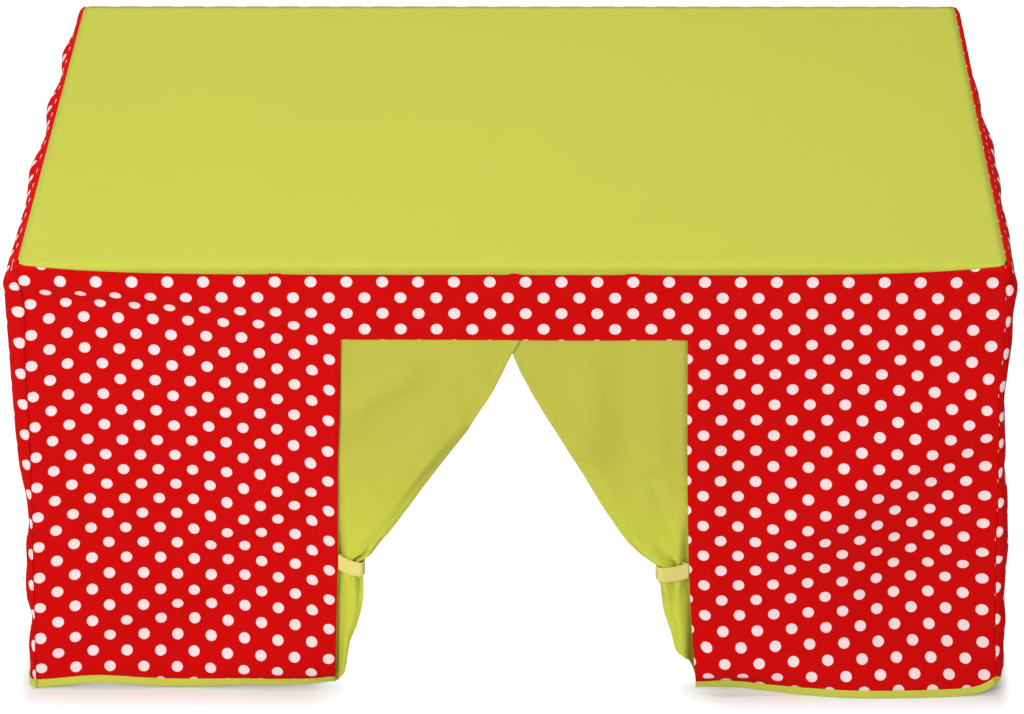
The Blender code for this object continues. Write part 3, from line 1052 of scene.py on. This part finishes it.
def roofPlace(a, b, lift):
    # a and b are distances from the middle over the cloth, past the flat part and down the edge
    flatX, flatY = halfWidth - cover["edgeRadius"], halfDepth - cover["edgeRadius"]
    over = np.maximum(np.maximum(abs(a) - flatX, abs(b) - flatY), 0)
    turn = np.minimum(over / cover["edgeRadius"], math.pi / 2)
    past = np.maximum(over - roundLength, 0)
    x = np.clip(a, -flatX, flatX)
    y = np.clip(b, -flatY, flatY)
    outX = np.where(abs(a) > flatX, np.sign(a), 0.0)
    outY = np.where(abs(b) > flatY, np.sign(b), 0.0)
    length = np.maximum(np.hypot(outX, outY), 1e-9)
    outX, outY = outX / length, outY / length
    x = x + outX * cover["edgeRadius"] * np.sin(turn)
    y = y + outY * cover["edgeRadius"] * np.sin(turn)
    z = cover["height"] - cover["edgeRadius"] * (1 - np.cos(turn)) - past
    x = x + outX * lift * np.sin(turn)
    y = y + outY * lift * np.sin(turn)
    return np.column_stack([x, y, z + lift * np.cos(turn)])


def makeRoof():
    spread = halfWidth - cover["edgeRadius"]
    columns = int(2 * spread / roof["spacing"])
    rows = int(2 * halfDepth / roof["spacing"])
    bm = bmesh.new()
    bmesh.ops.create_grid(bm, x_segments=columns, y_segments=rows, size=1.0)
    for share in roof["cuts"]:
        cutAcross(bm, (0, -share, 0), (0, 1, 0))
    flat = np.array([vert.co for vert in bm.verts])
    flatDepth = halfDepth - cover["edgeRadius"]
    front = flatDepth + seamOfFront(flat[:, 0] * spread) - cover["seamGap"]
    back = flatDepth + cover["seamDrop"] - cover["seamGap"]
    a = flat[:, 0] * (spread + cover["seamDrop"] - cover["seamGap"])
    b = np.where(flat[:, 1] < 0, flat[:, 1] * front, flat[:, 1] * back)
    reachA = np.maximum(abs(a) - (spread - roof["corner"]), 0)
    reachB = np.maximum(abs(b) - (flatDepth - roof["corner"]), 0)
    both = (reachA > 0) & (reachB > 0) & (abs(b) <= halfDepth)
    squeeze = np.where(both, np.maximum(reachA, reachB) / np.maximum(np.hypot(reachA, reachB), 1e-9), 1.0)
    a = np.sign(a) * (abs(a) - reachA * (1 - squeeze))
    b = np.sign(b) * (abs(b) - reachB * (1 - squeeze))
    rim = np.minimum((1 - abs(flat[:, 0])) * spread, (1 - abs(flat[:, 1])) * halfDepth)
    lift = unevenness(np.column_stack([a, b, a * 0]), 5.0) * roof["ripple"] * smoothStep(0.0, 0.06, rim)
    lift = lift + roof["ripple"] * 0.6 * smoothStep(0, 0.04, rim)
    for place, width, depth in roof["puckers"]:
        lift = lift - depth * hill(a, place, width) * hill(flat[:, 1], -1.0, 0.035)
    lift = lift - seams["shallow"] * np.clip(1 - rim / 0.003, 0, 1) ** 2
    hangUp(bm, roofPlace(a, b, lift), a, b)
    faceOutward(bm, (0, 0, 1))
    piece = linkPiece("roof_cloth", bm, [finishes["roof"]])
    thicken(piece, cover["clothThickness"])
    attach(piece, "cover")
    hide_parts("roof_panel")
    print("roof laid")


makeRoof()
frontArea = 1.378 * 0.69 - 2 * 0.242 * 0.573  # less the doorway
for wallName, flatSize, area in (
    ("front", (1.378, 0.69), frontArea),
    ("back", (1.378, 0.70), None),
    ("left", (2 * endHalf, 0.70), None),
    ("right", (2 * endHalf, 0.70), None),
):
    companions = []
    for key, pieces in bindings.items():
        if key.startswith(wallName):
            companions += pieces
    declareWall(walls[wallName], wallName + "_wall", "cover")


# Curtains. "bunch" is how far the tied bunch reaches from the door edge, "tie" the height of the
# tie, "tieLift" how much higher its two ends lie and "rootPast" how far it starts past the door
# edge. "margin" is how far the cloth reaches behind the wall, and how much further at the foot.
# The loose tail has "tailSwell" of the bunch's fullness, "atJamb" of that at the door edge, and
# loses "skew" of it towards the free edge, which turns back by "turnBack" above the tie.
# "plane" is where the cloth hangs above the tie, and "folds" are given as those of the front.
# "edge" is the free edge: (height, distance from the middle of the doorway).
# "pleats" gives the folds of the bunch at some heights, at each tenth of its width from the
# door edge: 1 lies against the tie in front and -1 against the tab behind.
curtains = {
    "left": {
        "sign": -1,
        "bunch": 0.0318,
        "tie": 0.204,
        "tieLift": (0.0075, 0.0020),
        "rootPast": 0.0014,
        "margin": (0.2575, 0.008),
        "skew": 0.0,
        "atJamb": 0.75,
        "tailSwell": 0.55,
        "edge": [
            (0.585, -0.016), (0.571, -0.012), (0.549, 0.000), (0.541, 0.004), (0.522, 0.012),
            (0.484, 0.031), (0.426, 0.064), (0.367, 0.104), (0.308, 0.146), (0.268, 0.176),
            (0.240, 0.196), (0.220, 0.2085), (0.208, 0.2165), (0.196, 0.2180), (0.180, 0.2165),
            (0.151, 0.2175), (0.127, 0.2225), (0.105, 0.2280), (0.079, 0.2385), (0.056, 0.2425),
            (0.036, 0.2455), (0.026, 0.2480), (0.018, 0.2510), (0.011, 0.2550), (0.007, 0.2590),
        ],
        "foot": 0.007,
        "plane": -0.4670,
        "pleats": [
            (0.290, (0.0, 0.2, 0.3, 0.3, 0.3, 0.3, 0.3, 0.3, 0.3, 0.2, 0.0)),
            (0.245, (0.0, 0.5, 0.7, 0.7, 0.6, 0.6, 0.7, 0.5, 0.4, 0.6, 0.0)),
            (0.230, (0.0, 0.8, 0.9, 0.9, 0.8, 0.8, 0.9, 0.8, -0.1, 0.8, 0.0)),
            (0.217, (0.0, 0.9, 1.0, 0.9, 0.8, 0.9, 0.6, -0.9, 0.7, 0.9, -0.6)),
            (0.190, (0.0, 0.9, 0.6, 0.0, -0.1, 0.6, 1.0, 0.5, -0.3, -0.4, -0.9)),
            (0.172, (0.3, 0.8, 0.7, 0.5, 0.5, 0.8, 1.0, 0.6, -0.2, -0.3, -0.5)),
            (0.154, (0.5, 0.7, 0.8, 0.9, 0.9, 0.9, 1.0, 0.7, 0.0, -0.1, -0.3)),
            (0.138, (0.4, 0.6, 0.8, 0.9, 1.0, 1.0, 1.0, 0.9, 0.7, 0.5, 0.2)),
            (0.090, (0.4, 0.6, 0.8, 0.9, 1.0, 0.9, 0.8, 0.6, 0.4, 0.2, 0.0)),
            (0.000, (0.3, 0.4, 0.6, 0.7, 0.7, 0.6, 0.5, 0.3, 0.1, -0.1, -0.3)),
        ],
        "folds": [
            ((-0.245, 0.455), (-0.150, 0.510), 0.028, 0.020, 0.0060),
            ((-0.245, 0.405), (-0.120, 0.475), 0.030, 0.022, -0.0050),
            ((-0.225, 0.250), (-0.110, 0.420), 0.055, 0.030, 0.0070),
            ((-0.180, 0.268), (-0.072, 0.432), 0.012, 0.008, 0.0040),
            ((-0.245, 0.360), (-0.190, 0.290), 0.020, 0.030, 0.0040),
            ((-0.060, 0.560), (-0.030, 0.480), 0.018, 0.018, 0.0040),
        ],
        "turnBack": 0.010,
    },
    "right": {
        "sign": 1,
        "bunch": 0.0393,
        "tie": 0.195,
        "tieLift": (0.0030, 0.0052),
        "rootPast": 0.0030,
        "margin": (0.2590, 0.013),
        "skew": 0.5,
        "atJamb": 1.05,
        "tailSwell": 0.45,
        "edge": [
            (0.585, -0.014), (0.571, -0.009), (0.550, 0.001), (0.541, 0.004), (0.522, 0.011),
            (0.484, 0.029), (0.426, 0.063), (0.368, 0.095), (0.309, 0.127), (0.269, 0.152),
            (0.245, 0.168), (0.229, 0.182), (0.215, 0.199), (0.208, 0.2075), (0.181, 0.2140),
            (0.132, 0.2190), (0.093, 0.2310), (0.070, 0.2360), (0.062, 0.2385), (0.056, 0.2440),
            (0.054, 0.2500), (0.048, 0.2560), (0.036, 0.2610), (0.017, 0.2665), (0.004, 0.2700),
        ],
        "foot": 0.010,
        "plane": -0.4642,
        "pleats": [
            (0.290, (0.0, 0.1, 0.2, 0.3, 0.3, 0.3, 0.3, 0.3, 0.2, 0.2, 0.0)),
            (0.250, (0.0, 0.4, 0.5, 0.5, 0.4, 0.3, 0.5, 0.6, 0.6, 0.5, 0.0)),
            (0.229, (0.0, 0.7, 0.8, 0.8, 0.6, -0.1, 0.6, 0.9, 0.9, 0.7, 0.0)),
            (0.208, (0.0, 0.8, 0.9, 0.5, -0.9, 0.5, 0.9, 1.0, 0.9, 0.8, 0.2)),
            (0.181, (0.8, 0.9, 0.8, 0.6, 0.4, 0.5, 0.8, 1.0, 1.0, 0.9, 0.3)),
            (0.160, (1.0, 1.0, 0.9, 0.8, 0.6, 0.6, 0.8, 1.0, 1.0, 0.9, 0.4)),
            (0.130, (1.1, 1.1, 1.0, 0.9, 0.8, 0.7, 0.8, 1.0, 1.0, 0.9, 0.5)),
            (0.085, (1.1, 1.1, 1.0, 1.0, 0.9, 0.8, 0.9, 1.0, 0.9, 0.8, 0.3)),
            (0.060, (1.0, 1.0, 1.0, 0.9, 0.8, 0.8, 0.9, 0.9, 0.8, 0.4, -0.1)),
            (0.000, (0.4, 0.5, 0.5, 0.4, 0.3, 0.3, 0.2, 0.1, 0.0, -0.1, -0.2)),
        ],
        "folds": [
            ((0.108, 0.550), (0.112, 0.410), 0.028, 0.028, 0.0060),
            ((0.172, 0.550), (0.166, 0.390), 0.030, 0.030, -0.0070),
            ((0.180, 0.520), (0.215, 0.330), 0.035, 0.035, 0.0060),
            ((0.165, 0.270), (0.060, 0.450), 0.025, 0.025, 0.0060),
            ((0.235, 0.250), (0.200, 0.350), 0.012, 0.014, -0.0050),
        ],
        "turnBack": 0.003,
    },
}
hingeX, hingeY = 0.2511, -0.4695
bunchAngle = math.radians(22)  # how far the tie and the tab open round the bunch
curtainCloth = {
    "columns": 96,
    "rows": 190,
    "sewnUp": 0.585,
    "hemWidth": 0.010,
    "hemRise": 0.0006,
    "fullness": 0.744 * math.tan(bunchAngle),  # how thick the bunch is for its width
    "tieHalf": 0.0131,
    "topReach": 0.2530,  # how far the cloth reaches behind the wall at the lintel
    # heights between which its margin grows to that of the waist, and further towards the foot
    "waist": (0.50, 0.25),
    "flare": (0.21, 0.0),
    "tailReach": 0.003,  # how much further the tail reaches, and the heights where that begins
    "tailTop": (0.28, 0.20),
    "leastWidth": 0.003,
    "roundFrom": 0.8,  # share of the bunch's width from which its end is rounded
    "gathered": 0.14,  # how far above the tie the folds of the bunch reach
    "stripPlace": (0.355, 0.070),  # height and spread of the free edge's turn, and its width
    "stripWidth": (0.026, 0.006),
    "jambFollow": 1.1,  # how much of the foot's wider margin stays behind the wall
    # how far behind the wall's line and the curtain's own plane the margin lies, by height
    "behindWall": 0.0048,
    "behind": (0.001, 0.0092),
    "behindTop": (0.30, 0.22),
    "unevenness": 0.0012,
}


def pleatLevel(curtain, share, z):
    heights, levels = zip(*reversed(curtain["pleats"]))
    tenths = np.linspace(0, 1, 11)
    fine = np.linspace(0, 1, 101)
    rows = [softened(np.interp(fine, tenths, row), 4) for row in levels]
    place = np.interp(z, heights, np.arange(len(heights)))
    low = np.clip(place.astype(int), 0, len(heights) - 2)
    part = smoothStep(0, 1, place - low)
    level = np.zeros_like(z)
    for i in range(len(heights) - 1):
        here = np.interp(share, fine, rows[i]) * (1 - part) + np.interp(share, fine, rows[i + 1]) * part
        level = np.where(low == i, here, level)
    return level


def curtainPlace(curtain, q, z):
    # q runs from the door edge, behind the wall, to the free edge
    tieTop = curtain["tie"] + curtainCloth["tieHalf"]
    tieBottom = curtain["tie"] - curtainCloth["tieHalf"]
    above = np.maximum(z - tieTop, 0)
    low = np.maximum(tieBottom - z, 0)
    # from how far behind the wall to the free edge the cloth reaches
    flared = curtain["margin"][1] * smoothStep(*curtainCloth["flare"], z)
    outer = between(curtainCloth["topReach"], curtain["margin"][0], smoothStep(*curtainCloth["waist"], z))
    outer = outer + curtainCloth["tailReach"] * smoothStep(*curtainCloth["tailTop"], z) + flared
    inner = profileAt(z, curtain["edge"], 0.001, 4)
    atTie = smoothStep(tieTop + 0.006, tieTop - 0.002, z) * smoothStep(tieBottom - 0.006, tieBottom, z)
    inner = between(inner, hingeX - curtain["bunch"], atTie)
    width = np.maximum(outer - inner, curtainCloth["leastWidth"])
    x = outer - width * q
    reach = np.maximum(hingeX - x, 0)
    share = np.clip(reach / np.maximum(hingeX - inner, curtainCloth["leastWidth"]), 0, 1)
    # how far the folds of the bunch and of the tail stand out in front
    turn = curtainCloth["roundFrom"]
    rounded = np.sqrt(np.maximum(1 - ((share - turn) / (1 - turn)) ** 2, 0.0))
    swell = np.where(share < turn, share / turn, rounded)
    tailSwell = curtain["tailSwell"] * between(curtain["atJamb"], 1, smoothStep(0, 0.4, share))
    tailSwell = tailSwell * (1 - curtain["skew"] * share) * (1 - share**8)
    swell = between(swell, tailSwell, smoothStep(0.004, 0.05, low))
    fade = 1 - smoothStep(0.0, curtainCloth["gathered"], above)
    envelope = curtain["bunch"] * curtainCloth["fullness"] * swell * fade
    forward = envelope * pleatLevel(curtain, share, z)
    # the soft folds above the tie, and the free edge's turn
    soft = 0.0
    for fold in curtain["folds"]:
        soft = soft + foldOf(curtain["sign"] * x, z, *fold)
    soft = soft * smoothStep(doorway["top"], doorway["top"] - 0.05, z)
    soft = soft * smoothStep(0.0, 0.05, reach) * smoothStep(0, 0.03, above)
    edgeAway = (1 - q) * width
    strip = hill(z, *curtainCloth["stripPlace"]) * curtain["turnBack"]
    strip = strip * smoothStep(*curtainCloth["stripWidth"], edgeAway)
    # where it hangs in the doorway, and where it is hidden behind the wall
    plane = between(hingeY, curtain["plane"], smoothStep(0.0, 0.2, above))
    tail = smoothStep(0.0, 0.03, low)
    past = reach - np.maximum(x - hingeX, 0) + curtainCloth["jambFollow"] * flared
    hidden = smoothStep(between(0.012, 0.017, tail), between(0.0, -0.004, tail), past)
    jamb = np.full_like(z, curtain["sign"] * (hingeX + 0.002))
    wallBack = curtainCloth["behindWall"] - halfDepth - hangOfFront(jamb, z)
    near, far = curtainCloth["behind"]
    behind = np.maximum(wallBack, plane + between(near, far, smoothStep(*curtainCloth["behindTop"], z)))
    y = between(plane - forward - soft + strip, behind, hidden)
    return np.column_stack([curtain["sign"] * x, y, z]), edgeAway


def makeCurtain(name):
    curtain = curtains[name]
    columns, rows = curtainCloth["columns"], curtainCloth["rows"]
    bm = bmesh.new()
    bmesh.ops.create_grid(bm, x_segments=columns, y_segments=rows, size=0.5)
    flat = np.array([vert.co for vert in bm.verts])
    q = flat[:, 0] + 0.5
    z = between(curtain["foot"], curtainCloth["sewnUp"], flat[:, 1] + 0.5)
    points, edgeAway = curtainPlace(curtain, q, z)
    clear = smoothStep(curtain["tie"] + 0.02, curtain["tie"] + 0.08, z) * smoothStep(0.575, 0.53, z)
    points[:, 1] -= unevenness(points, 14.0) * curtainCloth["unevenness"] * clear
    hangUp(bm, points, q * 0.2, z)
    hem = curtainCloth["hemWidth"]
    for vert, away in zip(bm.verts, edgeAway):
        rise = curtainCloth["hemRise"] * float(smoothStep(hem + 0.0015, hem - 0.0005, away))
        vert.co += vert.normal * rise * (1 if vert.normal.y < 0 else -1)
    faceOutward(bm, (0, -1, 0))
    piece = linkPiece(name + "_curtain_cloth", bm, [finishes["curtain"]])
    thicken(piece, cover["clothThickness"], offset=0.0)
    body = name + "_curtain_body"
    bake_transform(piece)
    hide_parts(name + "_curtain")
    name + "_tie_band"
    print(name, "curtain gathered")


# Ties: a strap in front and a tab behind, which close on each other past the bunch
tape = {
    "width": 0.025,
    "thickness": 0.0010,
    "patchHeight": 0.021,
    "patchAngle": math.radians(20),
    "gap": 0.0003,
    "rows": 6,
    "inset": 0.0022,  # from a long edge to the stitches
    "sag": 0.0018,  # how far the tie hangs through between its ends
    "pinch": 0.10,  # how much narrower it looks where it bends round the bunch
}


def arcPath(radius, start, end, steps):
    angles = [between(start, end, i / steps) for i in range(steps + 1)]
    return [(radius * math.cos(a), radius * math.sin(a)) for a in angles]


def hookedPath(radius, clearance, endAngle):
    # from the door edge straight along the bunch, then round its end
    along = Vector((math.cos(bunchAngle), math.sin(bunchAngle)))
    aside = Vector((-along.y, along.x)) * clearance
    cornerReach = math.sqrt(radius**2 - clearance**2)
    corner = along * cornerReach + aside
    trim = 0.22 * radius
    arcAngle = math.atan2(corner.y, corner.x) - trim / radius
    arcStart = Vector((math.cos(arcAngle), math.sin(arcAngle))) * radius
    armEnd = along * (cornerReach - trim) + aside
    first = Vector((0.0002, clearance))
    bend = along * 0.004 + aside
    path = []
    for i in range(6):
        share = i / 6
        path.append(first.lerp(bend, share).lerp(bend.lerp(along * 0.009 + aside, share), share))
    armStart = along * 0.009 + aside
    path += [armStart.lerp(armEnd, i / 10) for i in range(10)]
    for i in range(8):
        share = i / 8
        path.append(armEnd.lerp(corner, share).lerp(corner.lerp(arcStart, share), share))
    return [tuple(point) for point in path] + arcPath(radius, arcAngle, endAngle, 14)


def sewTape(piece, curtain, body, fromBody):
    # a tape with no sewn end goes with its body, and a sewn one stays where it is made
    if fromBody is None:
        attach(piece, body)
        return
    start = (curtain["sign"] * hingeX, hingeY, curtain["tie"])
    end = (curtain["sign"] * (hingeX - 0.009), hingeY, curtain["tie"])
    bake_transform(piece)


def tieHeight(curtain, reach, up):
    # the tie slants, hangs through between its ends and narrows where it bends round the bunch
    share = min(max(reach / curtain["bunch"], 0), 1)
    slant = between(*curtain["tieLift"], share)
    sag = tape["sag"] * math.sin(math.pi * share)
    return curtain["tie"] + up * (1 - tape["pinch"] * share**2) + slant - sag


def makeTape(name, curtain, path, facing, height, finish, body, node, slot, fromBody):
    bm = bmesh.new()
    bmesh.ops.create_grid(bm, x_segments=len(path) - 1, y_segments=tape["rows"], size=0.5)
    walked = [0.0]
    for first, second in zip(path, path[1:]):
        walked.append(walked[-1] + math.dist(first, second))
    layer = bm.loops.layers.uv.new("cloth")
    for face in bm.faces:
        for loop in face.loops:
            place = round((loop.vert.co.x + 0.5) * (len(path) - 1))
            loop[layer].uv = (walked[place], loop.vert.co.y * height)
    for vert in bm.verts:
        place = round((vert.co.x + 0.5) * (len(path) - 1))
        reach, forward = path[place]
        z = tieHeight(curtain, reach, vert.co.y * height)
        vert.co = (curtain["sign"] * (hingeX - reach), hingeY - facing * forward, z)
    bm.normal_update()
    piece = linkPiece(name, bm, [finish])
    thicken(piece, tape["thickness"], offset=0.0)
    soften = piece.modifiers.new("soft edge", "BEVEL")
    soften.width = 0.0003
    soften.segments = 2
    soften.limit_method = "ANGLE"
    soften.angle_limit = math.radians(50)
    sewTape(piece, curtain, body, fromBody)
    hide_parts(node)


def tapeStitches(name, curtain, path, facing, body, fromBody):
    # a row along each long edge of the tape, on its outer side
    places = []
    row = tape["width"] / 2 - tape["inset"]
    for height in (-row, row):
        left = 0.0
        for first, second in zip(path, path[1:]):
            step = math.dist(first, second)
            left += step
            if left < stitch["length"] + stitch["gap"]:
                continue
            left = 0.0
            middle = (Vector(first) + Vector(second)) / 2
            run = (Vector(second) - Vector(first)).normalized()
            out = Vector((-run.y, run.x))
            spot = middle + out * (tape["thickness"] / 2 + 0.0001)
            sign = curtain["sign"]
            z = tieHeight(curtain, spot.x, height)
            point = Vector((sign * (hingeX - spot.x), hingeY - facing * spot.y, z))
            direction = Vector((-sign * run.x, -facing * run.y, 0))
            outward = Vector((-sign * out.x, -facing * out.y, 0))
            places.append((point, direction, outward))
    thread = makeStitches(name, places, finishes["tieThread"])
    sewTape(thread, curtain, body, fromBody)


def makeTies(name):
    curtain = curtains[name]
    thick, gap = tape["thickness"], tape["gap"]
    clearance = 0.0006 + gap + thick / 2
    tabRadius = curtain["bunch"] + gap + thick / 2
    loopRadius = tabRadius + thick + gap
    hookRadius = loopRadius + thick + gap
    strapRadius = hookRadius + thick + gap
    strapPath = hookedPath(strapRadius, clearance, -tape["patchAngle"] - math.radians(3))
    past = curtain["rootPast"]
    strapPath = [(-past, clearance - 0.4 * past), (-past / 2, clearance - 0.2 * past)] + strapPath
    tabPath = hookedPath(tabRadius, clearance, -math.radians(2))
    hookPath = arcPath(hookRadius, -tape["patchAngle"], math.radians(2), 12)
    loopPath = arcPath(loopRadius, tape["patchAngle"], -math.radians(2), 12)
    curtainBody, tieBody = name + "_curtain_body", name + "_tie"
    band = (tape["width"], finishes["tie"])
    hooks = (tape["patchHeight"], finishes["hooks"])
    loops = (tape["patchHeight"], finishes["loops"])
    for piece, path, facing, (height, finish), body, node, slot, fromBody in (
        ("_tie_band", strapPath, 1, band, tieBody, "_tie_strap", "tie_tape", curtainBody),
        ("_tab_band", tabPath, -1, band, curtainBody, "_tie_tab", "tie_tape", None),
        ("_hooks", hookPath, 1, hooks, tieBody, "_hook_patch", "fastener_tape", None),
        ("_loops", loopPath, -1, loops, curtainBody, "_loop_patch", "fastener_tape", None),
    ):
        looks = (facing, height, finish)
        makeTape(name + piece, curtain, path, *looks, body, name + node, slot, fromBody)
    tapeStitches(name + "_tie_stitches", curtain, strapPath, 1, tieBody, curtainBody)
    tapeStitches(name + "_tab_stitches", curtain, tabPath, -1, curtainBody, None)
    print(name, "tie closed")


for sideName in ("left", "right"):
    makeTies(sideName)
    makeCurtain(sideName)


# Studio: a white floor that shows the object's shadow, and a white card inside the cover
studio = {
    "floorSize": 30.0,
    "glow": 1.15,
    "shadowShare": 0.89,
    "paper": 0.80,
    "insideShare": 0.06,
    # middle, width, height and distance from the back wall
    "card": (0.01, 0.20, 0.090, 0.040),
    # the shadow fades between these distances from the cover
    "clearFront": (0.015, 0.100),
    "clearSide": (0.005, 0.040),
    "worldLight": 0.36,
    "lamps": [
        # place, size and power of three soft lamps
        ((-2.6, -4.2, 2.9), 1.6, 172.0),
        ((2.8, -3.6, 2.4), 2.6, 44.0),
        ((-0.34, -0.05, 5.0), 1.1, 165.0),
    ],
}


def whiteStage(name):
    # white to the camera, apart from a share of the light that really falls on it
    shades = Shades(bpy.data.materials.new(name))
    x, y = (abs(value) for value in shades.split(shades.objectPlace())[:2])
    inside = 1 - x.ramp(halfWidth - 0.06, halfWidth + 0.01)
    inside = inside * (1 - y.ramp(halfDepth - 0.03, halfDepth + 0.004))
    near, far = studio["clearFront"]
    away = y.ramp(halfDepth + near, halfDepth + far) + 1 - x.ramp(0.20, 0.32)
    near, far = studio["clearSide"]
    away = away + x.ramp(halfWidth + near, halfWidth + far)
    shadowed = studio["shadowShare"] * (1 - away.least(1.0))
    share = shadowed * (1 - inside) + inside * studio["insideShare"]
    matte = shades.node("ShaderNodeBsdfDiffuse", {}, {"Color": (studio["paper"],) * 3 + (1.0,)})
    glow = shades.node("ShaderNodeEmission", {}, {"Color": (1, 1, 1, 1), "Strength": studio["glow"]})
    blend = shades.node("ShaderNodeMixShader", {}, {0: share, 1: glow, 2: matte})
    both = shades.node("ShaderNodeMixShader", {}, {0: shades.seenByCamera(), 1: matte, 2: blend})
    shades.node("ShaderNodeOutputMaterial", {}, {"Surface": both})
    return shades.made


def addStage():
    paper = whiteStage("whitePaper")
    bm = bmesh.new()
    bmesh.ops.create_grid(bm, x_segments=1, y_segments=1, size=studio["floorSize"] / 2)
    bmesh.ops.translate(bm, vec=(0, 0, -0.0008), verts=bm.verts)
    floor = linkPiece("floor", bm, [paper])
    middle, width, height, away = studio["card"]
    bm = bmesh.new()
    bmesh.ops.create_grid(bm, x_segments=8, y_segments=1, size=0.5)
    bmesh.ops.scale(bm, vec=(width, height, 1), verts=bm.verts)
    bmesh.ops.rotate(bm, matrix=Matrix.Rotation(math.radians(90), 3, "X"), verts=bm.verts)
    bmesh.ops.translate(bm, vec=(middle, halfDepth - away, height / 2), verts=bm.verts)
    card = linkPiece("white_card", bm, [paper])


def addLight():
    world = bpy.data.worlds.new("studio")
    bpy.context.scene.world = world
    shades = Shades(world)
    white = (1, 1, 1, 1)
    soft = shades.node("ShaderNodeBackground", {}, {"Color": white, "Strength": studio["worldLight"]})
    bright = shades.node("ShaderNodeBackground", {}, {"Color": white, "Strength": 1.0})
    mixed = shades.node("ShaderNodeMixShader", {}, {0: shades.seenByCamera(), 1: soft, 2: bright})
    shades.node("ShaderNodeOutputWorld", {}, {"Surface": mixed})
    for number, (place, size, power) in enumerate(studio["lamps"]):
        data = bpy.data.lights.new(f"softLamp{number}", "AREA")
        data.shape = "SQUARE"
        data.size = size
        data.energy = power
        lamp = bpy.data.objects.new(f"softLamp{number}", data)
        lamp.location = place
        aim = Vector((0, 0, 0.35)) - Vector(place)
        lamp.rotation_mode = "QUATERNION"
        lamp.rotation_quaternion = aim.to_track_quat("-Z", "Y")
        bpy.context.scene.collection.objects.link(lamp)


addStage()
addLight()
bpy.context.scene.view_settings.view_transform = "Standard"
print("studio lit")
